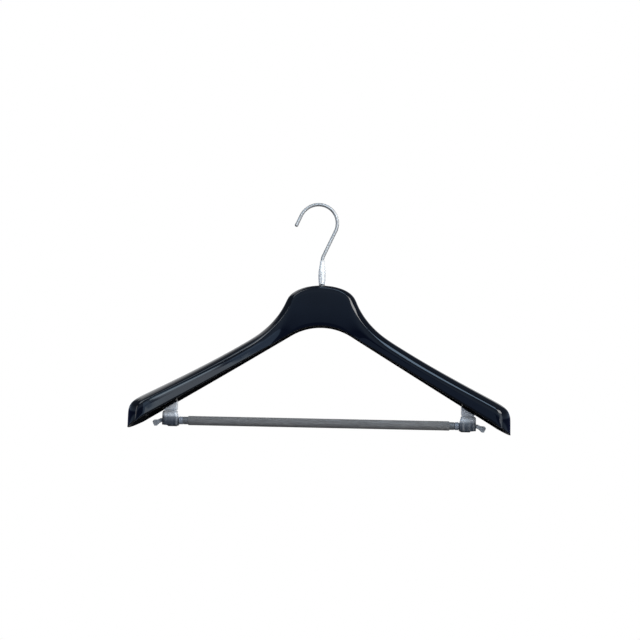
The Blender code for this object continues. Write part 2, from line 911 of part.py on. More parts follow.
def tail_point(along, across):
    """A point of the drooping fishtail, measured from where it leaves the bracket."""
    droop = radians(TAIL_DROOP_DEG)
    root_x = BELL_BACK + GAP + TAIL_NECK_WIDTH / 2 * sin(droop)
    x = root_x + along * cos(droop) - across * sin(droop)
    return x, -along * sin(droop) - across * cos(droop)


def tail_outline(side):
    neck = TAIL_NECK_WIDTH / 2
    end = TAIL_END_WIDTH / 2
    flare_start, flare_end = (TAIL_LENGTH * share for share in TAIL_FLARE_SHARES)
    corners = []
    for across_sign in (-1, 1):
        edge = [
            (0, neck, 0),
            (flare_start, neck, TAIL_LENGTH / 2),
            (flare_end, end, TAIL_CORNER),
            (TAIL_LENGTH, end * TAIL_FLARE_SHARES[1], TAIL_CORNER),
        ]
        for along, across, radius in edge[::across_sign]:
            x, z = tail_point(along, across * across_sign)
            corners.append((side * x, z, radius))
    return rounded(corners)


def tail_dish(side, face):
    """A shallow dish in one face of the fishtail."""
    start, end = (TAIL_LENGTH * share for share in TAIL_DISH_SHARES)
    half = TAIL_DISH_WIDTH / 2
    outline = []
    for along, across in ((start, -half), (end, -half), (end, half), (start, half)):
        x, z = tail_point(along, across)
        outline.append((side * x, z))
    depth = TAIL_THICK / 2 - TAIL_WEB / 2 + OVERRUN
    return flat("dish", outline, depth, face * (TAIL_WEB / 2 + depth / 2))


def build_skirt_hook(name, side):
    tail = flat(name, tail_outline(side), TAIL_THICK, 0)
    for face in (-1, 1):
        boolean(tail, tail_dish(side, face), "DIFFERENCE")
    low = BUSH_END - PIN_GRIP
    high = BELL_BACK + GAP + TAIL_NECK_WIDTH / 2
    boolean(tail, rod("pin", PIN_RADIUS, low, high, (0, 0, 0), along_x(side)), "UNION")
    return tail


# Assembly


def axis_empty(name, place, parent=None):
    """An empty on a joint's axis, in the hanger's own frame."""
    empty = bpy.data.objects.new(name, None)
    PARTS.objects.link(empty)
    empty.location = place
    empty.parent = parent
    return empty


def build_hook(steel, bright, zinc, parent):
    kept(build_hook_wire(), steel, parent)
    kept(build_ferrule(), bright, parent)
    kept(build_washer(), zinc, parent)
    kept(build_nut(), zinc, parent)


def build_hanger(black, smoke, nylon, parent):
    kept(build_shell(), black, parent)
    for word, side in (("left", -1), ("right", 1)):
        kept(build_bracket("bracket_" + word, side), smoke, parent)
        kept(build_bush("bracket_bush_" + word, side), nylon, parent)


def build_bar(grey, ribbed, smoke, parent):
    kept(build_bar_tube(), grey, parent)
    kept(build_bar_sleeve(), ribbed, parent)
    for word, side in (("left", -1), ("right", 1)):
        tail = kept(build_skirt_hook("skirt_hook_" + word, side), smoke, parent)
        for step in tail.modifiers:
            step.object.parent = parent


def main():
    steel = material("nickel_steel_wire", (0.60, 0.61, 0.62), 0.22, metallic=1.0)
    bright = material("polished_ferrule", (0.86, 0.87, 0.88), 0.10, metallic=1.0)
    zinc = material("zinc_steel", (0.62, 0.63, 0.65), 0.38, metallic=1.0)
    black = material("black_gloss_plastic", (0.008, 0.011, 0.018), 0.12)
    smoke = material("smoke_grey_plastic", (0.24, 0.27, 0.31), 0.16, transmission=0.35)
    nylon = material("pale_grey_plastic", (0.46, 0.49, 0.54), 0.28)
    grey = material("dark_grey_plastic", (0.13, 0.13, 0.13), 0.40)
    ribbed = material("grey_ribbed_sleeve", (0.16, 0.155, 0.15), 0.45)
    swivel = axis_empty("swivel_axis", (CROOK_OFFSET, 0, 0))
    roll = axis_empty("bar_axis", (0, bar_y(), bar_z()), swivel)
    build_hook(steel, bright, zinc, swivel)
    build_hanger(black, smoke, nylon, swivel)
    build_bar(grey, ribbed, smoke, roll)
    for item in CUTTERS.objects:
        if item.parent is None:
            item.parent = swivel


main()
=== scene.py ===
"""Looks of a plastic suit hanger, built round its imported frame.

Metres, +Z up, front towards -Y. Shapes are made about the swivel axis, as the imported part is, and
then put in place: the hook and the shell stand on that axis, the trouser bar on its own axis.
"""

import json
from math import cos, hypot, pi, radians, sin, sqrt, tan

import bmesh
import bpy
from mathutils import Matrix, Quaternion, Vector


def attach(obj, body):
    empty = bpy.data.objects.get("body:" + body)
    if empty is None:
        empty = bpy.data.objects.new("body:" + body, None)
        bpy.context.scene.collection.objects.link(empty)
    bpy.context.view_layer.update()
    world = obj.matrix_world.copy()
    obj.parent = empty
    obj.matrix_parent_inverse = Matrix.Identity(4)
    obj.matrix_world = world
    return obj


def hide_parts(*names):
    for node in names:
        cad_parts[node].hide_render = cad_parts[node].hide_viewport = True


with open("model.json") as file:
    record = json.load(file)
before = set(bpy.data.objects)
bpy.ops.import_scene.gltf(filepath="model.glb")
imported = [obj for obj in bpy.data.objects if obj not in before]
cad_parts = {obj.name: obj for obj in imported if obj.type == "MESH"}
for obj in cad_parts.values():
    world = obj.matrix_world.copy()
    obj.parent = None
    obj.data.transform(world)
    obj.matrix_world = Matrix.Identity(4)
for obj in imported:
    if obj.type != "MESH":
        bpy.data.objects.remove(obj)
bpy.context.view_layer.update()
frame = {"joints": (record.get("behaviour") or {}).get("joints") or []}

# Places read from the frame
JOINTS = {joint["name"]: joint for joint in frame["joints"]}
AXIS_X, _, NECK_TOP_Z = JOINTS["hook_swivel"]["pos_m"]
_, BAR_Y, BAR_Z = JOINTS["bar_roll"]["pos_m"]

# Gaps and cuts
GAP = 0.0003
OVERRUN = 0.002
MERGE = 0.000004

# Hook wire
WIRE_RADIUS = 0.0020
CROOK_RADIUS = 0.0222
CROOK_SLANT_DEG = 24.5
TIP_LENGTH = 0.0148
TIP_BULGE_SHARE = 0.14
TIP_BULGE_LENGTH = 0.0052
KINK_RADIUS = 0.0130

# Ferrule between the kink and the neck
FERRULE_LENGTH = 0.0282
FERRULE_TOP_RADIUS = 0.0027
FERRULE_BELLY_RADIUS = 0.0043
FERRULE_FOOT_RADIUS = 0.0037
FERRULE_BELLY_SHARE = 0.52
FERRULE_EDGE = 0.0004

# Boss, washer and nut inside the neck
BOSS_RADIUS = 0.0062
BOSS_LENGTH = 0.0240
WASHER_RADIUS = 0.0060
WASHER_THICK = 0.0010
NUT_RADIUS = 0.0044
NUT_HEIGHT = 0.0042
NUT_CHAMFER = 0.0005
WIRE_END_PROUD = 0.0010

# Shell seen from the front: drops are measured down from the neck's top
SPAN = 0.430
NECK_HALF_WIDTH = 0.0407
NECK_SIDE_DROP = 0.0190
ARM_START = 0.087
ARM_START_DROP = 0.0684
ARM_SLOPE_DEG = 29.3
END_ROUND = 0.0106
END_CORNER_HEIGHT = 0.0168
ARCH_DROP = 0.0490
ARCH_RADIUS = 0.0662
UNDER_SLOPE_DEG = 31.6
CROWN_SHARES = ((0, 0), (0.530, 0), (0.940, 0.400), (1, 1))
FLARE_SHARES = ((0, 0), (0.100, 0.228), (0.356, 0.666), (1, 1))
ARM_SHARES = ((0, 0), (0.329, 0.369), (0.702, 0.718), (1, 1))
CORNER_SHARES = ((0, 0), (0.546, 0.288), (1, 0.425), (1, 1))

# Shell seen from above
PANEL_HALF_WIDTH = 0.030
NECK_HALF_DEPTH = 0.0110
END_HALF_DEPTH = 0.0240
BOW = 0.024
BOW_POWER = 1.6
DEPTH_POWER = 1.2

# Shell section: how far the crease lies inside the outline, and how the roll starts there
CREASE_AT_TOP = 0.0040
CREASE_AT_WAIST = 0.0076
CREASE_AT_ARM = 0.0066
CREASE_AT_ARM_END = 0.0086
CREASE_AT_END = 0.0134
CREASE_ROUND_AT_NECK = 0.0009
CREASE_ROUND_AT_ARM = 0.0036
CREASE_ROUND_AT_ARM_END = 0.0014
CREASE_ROUND_AT_END = 0.0017
CREASE_ROUND_RUN = 0.030
CREASE_ROUND_DELAY = 0.4
ROLL_SHARE = 0.60
FACE_CROWN_SHARE = 0.045
CROWN_RUN = 0.060
WALL = 0.0024
LIP_ROUND = 0.0008

# Ribs and bracket sockets inside the shell
RIB_THICK = 0.0016
RIB_RECESS = 0.0030
RIB_PLACE_SHARES = (0.095, 0.290, 0.430, 0.570, 0.915)
SOCKET_WALL = 0.0018

# Trouser bar
BRACKET_INSET = 0.047
TUBE_RADIUS = 0.0044
SLEEVE_RADIUS = 0.00525
SLEEVE_END_INSET = 0.0203
PIN_RADIUS = 0.0022
PIN_GRIP = 0.018
SLEEVE_RIBS = 36
SLEEVE_RIB_DEPTH = 0.00022
SLEEVE_TWIST = 0.9

# Bracket: a fluted bell round the bar, a post, a slanted flange and a plug
BELL_INBOARD = 0.0096
BELL_OUTBOARD = 0.0094
BELL_ABOVE = 0.0110
BELL_BELOW = 0.0052
BELL_DEPTH = 0.0130
BELL_TAPER = 0.0022
BELL_CORNER = 0.0026
BELL_SQUARENESS = 2.4
BELL_TOP_ROUND = 0.0016
BELL_LEAN = 0.0018
BELL_LEAN_START = 0.0010
HEEL_BELOW = 0.0068
HEEL_INBOARD = 0.0072
HEEL_OUTBOARD = 0.0030
POST_INBOARD = 0.0070
POST_OUTBOARD = 0.0078
POST_DEPTH = 0.0100
POST_NECK_HEIGHT = 0.0008
POST_NECK_INSET = 0.0009
FLANGE_THICK = 0.0015
FLANGE_DEPTH = 0.0180
FLANGE_INNER_INSET = 0.0008
FLANGE_LAP = 0.0004
# Band below the rim line over which the post's painted shade sets in.
POST_PAINTED_SHADE_START = 0.0032
POST_PAINTED_SHADE_END = 0.0020
PLUG_HALF_WIDTH = 0.0060
PLUG_DEPTH = 0.0090
PLUG_LENGTH = 0.0150
EDGE_ROUND = 0.0008
FLUTES = 3
FLUTE_DEPTH = 0.0005

# Bush in the bracket
BUSH_RADIUS = 0.0035
BUSH_FLANGE_RADIUS = 0.0045
BUSH_FLANGE_LENGTH = 0.0045
BUSH_EDGE = 0.0004

# Skirt hook: a fishtail on a pin
TAIL_LENGTH = 0.0100
TAIL_NECK_WIDTH = 0.0044
TAIL_END_WIDTH = 0.0074
TAIL_THICK = 0.0036
TAIL_CORNER = 0.0010
TAIL_EDGE = 0.0004
TAIL_DROOP_DEG = 25
TAIL_FLARE_SHARES = (0.34, 0.74)
TAIL_DISH_SHARES = (0.46, 0.88)
TAIL_DISH_WIDTH = 0.0034
TAIL_WEB = 0.0016

# Mesh density
CROWN_STEPS = 22
FLARE_STEPS = 28
ARM_STEPS = 40
CORNER_STEPS = 14
END_STEPS = 12
OUTLINE_PASSES = 10
CREASE_CORNER_LEAD = 2
FACE_ROWS = 10
CREASE_ROWS = 6
ROLL_ROWS = 14
LIP_ROWS = 3
ROUND_STEPS = 64
CORNER_ARC_STEPS = 8
ARC_STEP_DEG = 3
TIP_STEPS = 24
KINK_STEPS = 10
FERRULE_STEPS = 48
BELL_END_ROWS = 8
BELL_SIDE_ROWS = 18
SLEEVE_END_ROWS = 5
SLEEVE_LONG_STEPS = 64
POINTS_EACH_RIB = 6
BEVEL_STEPS = 3
BEVEL_ANGLE_DEG = 50
SHARP_ANGLE_DEG = 35
RIBBED_SHARP_ANGLE_DEG = 60

# Sizes that follow
HALF_SPAN = SPAN / 2
BRACKET_X = HALF_SPAN - BRACKET_INSET
WIRE_HOLE = WIRE_RADIUS + GAP
PIN_HOLE = PIN_RADIUS + GAP
BELL_FACE = BRACKET_X - BELL_INBOARD
BELL_BACK = BRACKET_X + BELL_OUTBOARD
BUSH_END = BELL_FACE - GAP - BUSH_FLANGE_LENGTH
CROOK_CENTRE_Z = WIRE_RADIUS - CROOK_RADIUS
FERRULE_FOOT_Z = NECK_TOP_Z + GAP
FERRULE_TOP_Z = FERRULE_FOOT_Z + FERRULE_LENGTH
BOSS_FOOT_Z = NECK_TOP_Z - BOSS_LENGTH
WASHER_TOP_Z = BOSS_FOOT_Z - GAP
NUT_TOP_Z = WASHER_TOP_Z - WASHER_THICK - GAP
WIRE_END_Z = NUT_TOP_Z - NUT_HEIGHT - WIRE_END_PROUD
SWIVEL_AXIS = (AXIS_X, 0, 0)
BAR_AXIS = (AXIS_X, BAR_Y, BAR_Z)


# Small sums


def mix(start, end, share):
    return start + (end - start) * share


def ease(share):
    share = min(max(share, 0), 1)
    return share * share * (3 - 2 * share)


def unit(x, z):
    length = hypot(x, z)
    return x / length, z / length


def curve_point(points, share):
    """A point on the Bezier curve of three or four points."""
    while len(points) > 1:
        sides = zip(points, points[1:])
        points = [tuple(mix(a, b, share) for a, b in zip(one, other)) for one, other in sides]
    return points[0]


def quarter_turn(steps):
    """Sines and cosines at even steps over a quarter turn, both ends included."""
    angles = [pi / 2 * step / steps for step in range(steps + 1)]
    return [(sin(angle), cos(angle)) for angle in angles]


# Meshes


def from_bmesh(name, shape):
    bmesh.ops.recalc_face_normals(shape, faces=shape.faces)
    mesh = bpy.data.meshes.new(name)
    shape.to_mesh(mesh)
    shape.free()
    obj = bpy.data.objects.new(name, mesh)
    bpy.context.scene.collection.objects.link(obj)
    return obj


def add_points(shape, lines):
    return [[shape.verts.new(point) for point in line] for line in lines]


def loft(name, rings, ring_of_rings=False):
    """Faces between rings of as many points each; the two ends are capped or joined."""
    shape = bmesh.new()
    rows = add_points(shape, rings)
    pairs = list(zip(rows, rows[1:]))
    if ring_of_rings:
        pairs.append((rows[-1], rows[0]))
    for one, other in pairs:
        for step in range(len(one)):
            after = (step + 1) % len(one)
            shape.faces.new((one[step], one[after], other[after], other[step]))
    if not ring_of_rings:
        shape.faces.new(rows[0])
        shape.faces.new(rows[-1])
    return from_bmesh(name, shape)


def circle(radius, steps=ROUND_STEPS):
    return [(radius * cos(2 * pi * k / steps), radius * sin(2 * pi * k / steps)) for k in range(steps)]


def turned(name, profile):
    """A closed profile of radius and height, turned about Z."""
    rings = [[(x, y, height) for x, y in circle(radius)] for radius, height in profile]
    return loft(name, rings, ring_of_rings=True)


def baked(obj):
    """Takes an object's modifiers into its mesh."""
    bpy.context.view_layer.update()
    seen = obj.evaluated_get(bpy.context.evaluated_depsgraph_get())
    mesh = bpy.data.meshes.new_from_object(seen)
    obj.modifiers.clear()
    obj.data = mesh
    return obj


def boolean(target, other, operation):
    """Joins or cuts at once; the other object goes."""
    step = target.modifiers.new(operation, "BOOLEAN")
    step.operation = operation
    step.solver = "EXACT"
    step.object = other
    baked(target)
    bpy.data.objects.remove(other, do_unlink=True)
    return target


def bevelled(obj, width):
    edge = obj.modifiers.new("edge", "BEVEL")
    edge.width = width
    edge.segments = BEVEL_STEPS
    edge.limit_method = "ANGLE"
    edge.angle_limit = radians(BEVEL_ANGLE_DEG)
    return baked(obj)


def two_finishes(obj, first, second, chosen=None):
    """Gives a piece two finishes, and all its faces the chosen one of them if there is one."""
    obj.data.materials.append(first)
    obj.data.materials.append(second)
    if chosen is not None:
        obj.data.polygons.foreach_set("material_index", [chosen] * len(obj.data.polygons))


def placed(obj, body, slot, *nodes, finish=None, at=SWIVEL_AXIS, sharp_deg=SHARP_ANGLE_DEG):
    """Smooths a piece, puts it on its axis, hands it to its body and hides the imported nodes it stands for;
    its slot is not used.
    """
    if finish:
        obj.data.materials.append(finish)
    obj.data.shade_smooth()
    obj.data.set_sharp_from_angle(angle=radians(sharp_deg))
    obj.location = at
    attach(obj, body)
    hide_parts(*nodes)


def box(name, low, high):
    """A block between two corners."""
    shape = bmesh.new()
    bmesh.ops.create_cube(shape, size=1)
    size = [b - a for a, b in zip(low, high)]
    centre = [(a + b) / 2 for a, b in zip(low, high)]
    place = Matrix.Translation(centre) @ Matrix.Diagonal((*size, 1))
    bmesh.ops.transform(shape, matrix=place, verts=shape.verts)
    return from_bmesh(name, shape)


def rod(name, radius, low, high, turn=Matrix(), place=(0, 0, 0)):
    """A cylinder along its own Z from low to high, turned and then placed."""
    shape = bmesh.new()
    bmesh.ops.create_cone(
        shape, cap_ends=True, segments=ROUND_STEPS, radius1=radius, radius2=radius, depth=high - low
    )
    lift = Matrix.Translation((0, 0, (low + high) / 2))
    bmesh.ops.transform(shape, matrix=Matrix.Translation(place) @ turn @ lift, verts=shape.verts)
    return from_bmesh(name, shape)


def flat(name, outline, thickness, centre_y):
    """An outline in X and Z, made thick along Y."""
    shape = bmesh.new()
    face = shape.faces.new([shape.verts.new((x, centre_y - thickness / 2, z)) for x, z in outline])
    grown = bmesh.ops.extrude_face_region(shape, geom=[face])
    moved = [item for item in grown["geom"] if isinstance(item, bmesh.types.BMVert)]
    bmesh.ops.translate(shape, vec=(0, thickness, 0), verts=moved)
    return from_bmesh(name, shape)


def block(name, side, inner, outer, foot, top, depth, centre_y=BAR_Y):
    """A block on one side between two x, whose foot and top are heights by x."""
    corners = [(inner, foot(inner)), (outer, foot(outer)), (outer, top(outer)), (inner, top(inner))]
    return flat(name, [(side * x, z) for x, z in corners], depth, centre_y)


def rounded(corners):
    """An outline from corners of x, z and radius, each round one as an arc."""
    outline = []
    for index, (x, z, radius) in enumerate(corners):
        if radius:
            after = corners[(index + 1) % len(corners)]
            outline += corner_arc(corners[index - 1], (x, z), after, radius)
        else:
            outline.append((x, z))
    return outline


def corner_arc(before, corner, after, radius):
    """Points of an arc that touches both sides of a corner."""
    back = (Vector(before[:2]) - Vector(corner)).normalized()
    ahead = (Vector(after[:2]) - Vector(corner)).normalized()
    middle = back + ahead
    half_sine = (back - ahead).length / 2
    reach = radius * middle.length / 2 / half_sine
    inset = middle.normalized() * radius / half_sine
    start = back * reach - inset
    end = ahead * reach - inset
    ways = [start.lerp(end, step / CORNER_ARC_STEPS).normalized() for step in range(CORNER_ARC_STEPS + 1)]
    return [Vector(corner) + inset + way * radius for way in ways]


# Shell outline


def rim_drop(x):
    """Drop of the lower rim: a round arch that runs into the straight underside."""
    slope = radians(UNDER_SLOPE_DEG)
    arch_half = ARCH_RADIUS * sin(slope)
    if x <= arch_half:
        return ARCH_DROP + ARCH_RADIUS - sqrt(ARCH_RADIUS**2 - x**2)
    return ARCH_DROP + ARCH_RADIUS * (1 - cos(slope)) + (x - arch_half) * tan(slope)


def rim_z(x):
    return NECK_TOP_Z - rim_drop(abs(x))


def reach_share(x):
    """How far along the bowed arm x lies: 0 on the flat panel, 1 at the end."""
    return max(x - PANEL_HALF_WIDTH, 0) / (HALF_SPAN - PANEL_HALF_WIDTH)


def middle_y(x):
    return -BOW * reach_share(x) ** BOW_POWER


def half_depth(x):
    return mix(NECK_HALF_DEPTH, END_HALF_DEPTH, reach_share(x) ** DEPTH_POWER)


def arm_lean(x, drop):
    """How far inboard the rim point lies that faces an outline point squarely."""
    slope = radians(ARM_SLOPE_DEG)
    return (rim_drop(x) - drop) * sin(slope) * cos(slope)


def arm_end():
    """Where the end's round corner starts, as x and drop."""
    x = HALF_SPAN - END_ROUND
    return x, ARM_START_DROP + (x - ARM_START) * tan(radians(ARM_SLOPE_DEG))


def last_rim_x():
    """Where the crease meets the rim at the end of the arm."""
    return HALF_SPAN - CREASE_AT_END * cos(radians(UNDER_SLOPE_DEG))


def curve_stations(shares, steps, start, end, inset, rim):
    """Outline points along one curve, whose own points are shares of the way from start to end."""
    rows = []
    for step in range(steps):
        share = step / steps
        across, down = curve_point(shares, share)
        x = mix(start[0], end[0], across)
        drop = mix(start[1], end[1], down)
        rows.append((x, drop, inset(share), rim(x, drop, share)))
    return rows


def stations():
    """Outline points as x, drop, crease inset and rim x, with the joins between the curves eased."""
    side = (NECK_HALF_WIDTH, NECK_SIDE_DROP)
    arm = (ARM_START, ARM_START_DROP)
    corner = arm_end()
    end = (HALF_SPAN, corner[1] + END_CORNER_HEIGHT)
    side_rim = NECK_HALF_WIDTH / sqrt(2)
    arm_rim = ARM_START - arm_lean(*arm)
    corner_rim = corner[0] - arm_lean(*corner)
    end_rim = mix(corner_rim, last_rim_x(), 1 / 2)
    rows = curve_stations(
        CROWN_SHARES, CROWN_STEPS, (0, 0), side,
        lambda share: mix(CREASE_AT_TOP, CREASE_AT_WAIST, share**2),
        lambda x, drop, share: x / sqrt(2),
    )
    rows += curve_stations(
        FLARE_SHARES, FLARE_STEPS, side, arm,
        lambda share: mix(CREASE_AT_WAIST, CREASE_AT_ARM, share),
        lambda x, drop, share: mix(side_rim, arm_rim, share),
    )
    rows += curve_stations(
        ARM_SHARES, ARM_STEPS, arm, corner,
        lambda share: mix(CREASE_AT_ARM, CREASE_AT_ARM_END, share),
        lambda x, drop, share: x - arm_lean(x, drop),
    )
    rows += curve_stations(
        CORNER_SHARES, CORNER_STEPS, corner, end,
        lambda share: mix(CREASE_AT_ARM_END, CREASE_AT_END, share),
        lambda x, drop, share: mix(corner_rim, end_rim, share),
    )
    for step in range(END_STEPS + 1):
        share = step / END_STEPS
        drop = mix(end[1], rim_drop(HALF_SPAN), share)
        rows.append((HALF_SPAN, drop, CREASE_AT_END, mix(end_rim, last_rim_x(), share)))
    last_eased = len(rows) - END_STEPS // 2
    for _ in range(OUTLINE_PASSES):
        eased = list(rows)
        for index in range(1, last_eased):
            near = zip(rows[index - 1], rows[index], rows[index + 1])
            eased[index] = tuple((before + 2 * here + after) / 4 for before, here, after in near)
        rows = eased
    return rows


def inward(rows, index):
    """Unit direction in x and drop from an outline point towards the shell's middle."""
    if index == 0:
        return 0, 1
    first_end = len(rows) - END_STEPS - 1
    if index >= first_end:
        tilt = radians(UNDER_SLOPE_DEG) * (index - first_end) / END_STEPS
        return -cos(tilt), -sin(tilt)
    before = rows[index - 1]
    after = rows[index + 1]
    along = unit(after[0] - before[0], after[1] - before[1])
    return -along[1], along[0]


# Shell skin


def face_point(rim_x, crease, side, share):
    """A point of one slightly crowned face, at a share of the way from the rim to the crease."""
    height = hypot(crease[0] - rim_x, crease[1] - rim_drop(rim_x))
    x = mix(rim_x, crease[0], share)
    drop = mix(rim_drop(rim_x), crease[1], share)
    crown = FACE_CROWN_SHARE * height * ease((x - PANEL_HALF_WIDTH) / CROWN_RUN) * 4 * share * (1 - share)
    return x, middle_y(x) + side * (half_depth(x) + crown), drop


def roll_point(crease, crest, side, share):
    """A point of the round shoulder, at a share of the way from the crease to the crest."""
    crest_y = middle_y(crest[0])
    start = (crease[0], middle_y(crease[0]) + side * half_depth(crease[0]), crease[1])
    control = (crest[0], crest_y + side * half_depth(crest[0]) * ROLL_SHARE, crest[1])
    return curve_point((start, control, (crest[0], crest_y, crest[1])), share)


def crease_round(x):
    """Reach of the rounding at the crease: crisp at the neck, wide where the arm starts, then less."""
    past_neck = (x - NECK_HALF_WIDTH) / CREASE_ROUND_RUN - CREASE_ROUND_DELAY
    near = mix(CREASE_ROUND_AT_NECK, CREASE_ROUND_AT_ARM, ease(past_neck))
    arm_share = (x - ARM_START) / (last_rim_x() - ARM_START)
    along_arm = mix(near, CREASE_ROUND_AT_ARM_END, ease(arm_share))
    return mix(CREASE_ROUND_AT_END, along_arm, ease((last_rim_x() - x) / CREASE_ROUND_RUN))


def half_section(rim_x, crease, crest, side):
    """Points from the rim to just short of the crest, each with its share of the wall's inset."""
    height = hypot(crease[0] - rim_x, crease[1] - rim_drop(rim_x))
    reach = crease_round(crease[0])
    face_stop = 1 - min(reach / max(height, reach), 1 / 2)
    roll_run = hypot(crest[0] - crease[0], crest[1] - crease[1])
    roll_start = min(reach / (2 * roll_run), 1 / 4)
    corner = face_point(rim_x, crease, side, 1)
    line = []
    for step in range(FACE_ROWS):
        share = step / FACE_ROWS
        line.append((face_point(rim_x, crease, side, face_stop * share), share))
    start = face_point(rim_x, crease, side, face_stop)
    end = roll_point(crease, crest, side, roll_start)
    for step in range(CREASE_ROWS):
        line.append((curve_point((start, corner, end), step / CREASE_ROWS), 1))
    for step in range(ROLL_ROWS):
        line.append((roll_point(crease, crest, side, mix(roll_start, 1, step / ROLL_ROWS)), 1))
    return line


def crease_path(rows):
    """Crease points for all stations; round the end's corner they follow one curve, without a fold."""
    path = []
    for index, (x, drop, inset, _) in enumerate(rows):
        way = inward(rows, index)
        path.append((x + way[0] * inset, drop + way[1] * inset))
    first = len(rows) - 1 - END_STEPS - CORNER_STEPS - CREASE_CORNER_LEAD
    last = len(rows) - 1 - END_STEPS + CREASE_CORNER_LEAD
    start = path[first]
    end = path[last]
    way_in = unit(start[0] - path[first - 1][0], start[1] - path[first - 1][1])
    way_out = unit(path[last + 1][0] - end[0], path[last + 1][1] - end[1])
    turn = way_in[0] * way_out[1] - way_in[1] * way_out[0]
    reach = ((end[0] - start[0]) * way_out[1] - (end[1] - start[1]) * way_out[0]) / turn
    corner = (start[0] + way_in[0] * reach, start[1] + way_in[1] * reach)
    for index in range(first, last + 1):
        path[index] = curve_point((start, corner, end), (index - first) / (last - first))
    return path


def section(rows, path, index, inset):
    """One line of the shell from the front rim over the crest to the back rim, moved into the wall."""
    x, drop, _, rim_x = rows[index]
    way = inward(rows, index)
    crease = path[index]
    front = half_section(rim_x, crease, (x, drop), -1)
    back = half_section(rim_x, crease, (x, drop), 1)
    line = front + [((x, middle_y(x), drop), 1)] + back[::-1]
    return [inside(point, way, inset, share) for point, share in line]


def inside(point, way, inset, share):
    """A point of the skin moved in from its face by the inset, and from the outline by its share."""
    x, y, drop = point
    depth_share = (y - middle_y(x)) / half_depth(x)
    lift = inset * share
    return Vector((x + way[0] * lift, y - depth_share * inset, NECK_TOP_Z - drop - way[1] * lift))


def skin(inset):
    rows = stations()
    path = crease_path(rows)
    return [section(rows, path, index, inset) for index in range(len(rows))]


def rim_walk(lines):
    """Grid places along the open rim: the front, the end and the back."""
    last = len(lines) - 1
    width = len(lines[0]) - 1
    places = [(index, 0) for index in range(last)]
    places += [(last, step) for step in range(width + 1)]
    places += [(index, width) for index in range(last - 1, -1, -1)]
    return places


def lip_height(lines, place):
    """How far the rounding may reach up from a rim point, short of the next row."""
    index, step = place
    width = len(lines[0]) - 1
    if index == len(lines) - 1:
        above = lines[index - 1][step]
    else:
        above = lines[index][1 if step == 0 else width - 1]
    return min(LIP_ROUND, abs(above.z - lines[index][step].z) * 3 / 4)


def lip_points(outer, inner, height):
    """The rounded lip from the outer skin to the inner one, both ends included."""
    across = inner - outer
    way = across.normalized()
    reach = min(height, across.length / 3)
    points = []
    for sine, cosine in quarter_turn(LIP_ROWS):
        points.append(outer + way * reach * (1 - cosine) + Vector((0, 0, height * (1 - sine))))
    for sine, cosine in quarter_turn(LIP_ROWS):
        points.append(inner - way * reach * (1 - sine) + Vector((0, 0, height * (1 - cosine))))
    return points


def add_grid(shape, lines, slot):
    """Faces over lines of vertices."""
    for left, right in zip(lines, lines[1:]):
        for step in range(len(left) - 1):
            face = shape.faces.new((left[step], right[step], right[step + 1], left[step + 1]))
            face.material_index = slot


def shell_skin():
    """The shell's wall: an outer and an inner skin joined by a rounded lip."""
    outer = skin(0)
    inner = skin(WALL)
    walk = rim_walk(outer)
    lips = [lip_points(outer[i][j], inner[i][j], lip_height(outer, (i, j))) for i, j in walk]
    for (i, j), lip in zip(walk, lips):
        outer[i][j] = lip[0]
        inner[i][j] = lip[-1]
    shape = bmesh.new()
    outer_verts = add_points(shape, outer)
    inner_verts = add_points(shape, inner)
    lip_verts = add_points(shape, [lip[1:-1] for lip in lips])
    for (i, j), middle in zip(walk, lip_verts):
        middle.insert(0, outer_verts[i][j])
        middle.append(inner_verts[i][j])
    add_grid(shape, outer_verts, 0)
    add_grid(shape, inner_verts, 1)
    add_grid(shape, lip_verts, 1)
    return mirrored("shell_body", shape)


def mirrored(name, shape):
    """Joins the points that coincide and adds the other half."""
    bmesh.ops.remove_doubles(shape, verts=shape.verts, dist=MERGE)
    obj = from_bmesh(name, shape)
    mirror = obj.modifiers.new("mirror", "MIRROR")
    mirror.use_clip = True
    mirror.merge_threshold = MERGE
    return baked(obj)


def closed_core():
    """The solid body halfway through the shell's wall, which trims the ribs."""
    shape = bmesh.new()
    lines = add_points(shape, skin(WALL / 2))
    add_grid(shape, lines, 0)
    for left, right in zip(lines, lines[1:]):
        shape.faces.new((left[-1], right[-1], right[0], left[0]))
    shape.faces.new(lines[-1])
    return mirrored("rib_trim", shape)


def rib(side, x):
    """A cross rib at a distance x from the axis, a little short of the rim."""
    half = RIB_THICK / 2
    reach = half_depth(x) + OVERRUN
    low = (side * x - half, middle_y(x) - reach, rim_z(x) + RIB_RECESS)
    high = (side * x + half, middle_y(x) + reach, NECK_TOP_Z)
    return box("rib", low, high)


def plug_top_z():
    return rim_z(BRACKET_X) + PLUG_LENGTH


def socket(side, half_width, depth):
    """A block over the bracket, whose foot follows the rim's slope."""
    inner = BRACKET_X - half_width
    outer = BRACKET_X + half_width
    top_z = plug_top_z() + GAP + SOCKET_WALL
    foot = lambda x: rim_z(x) + RIB_RECESS
    return block("socket", side, inner, outer, foot, lambda x: top_z, depth, middle_y(BRACKET_X))


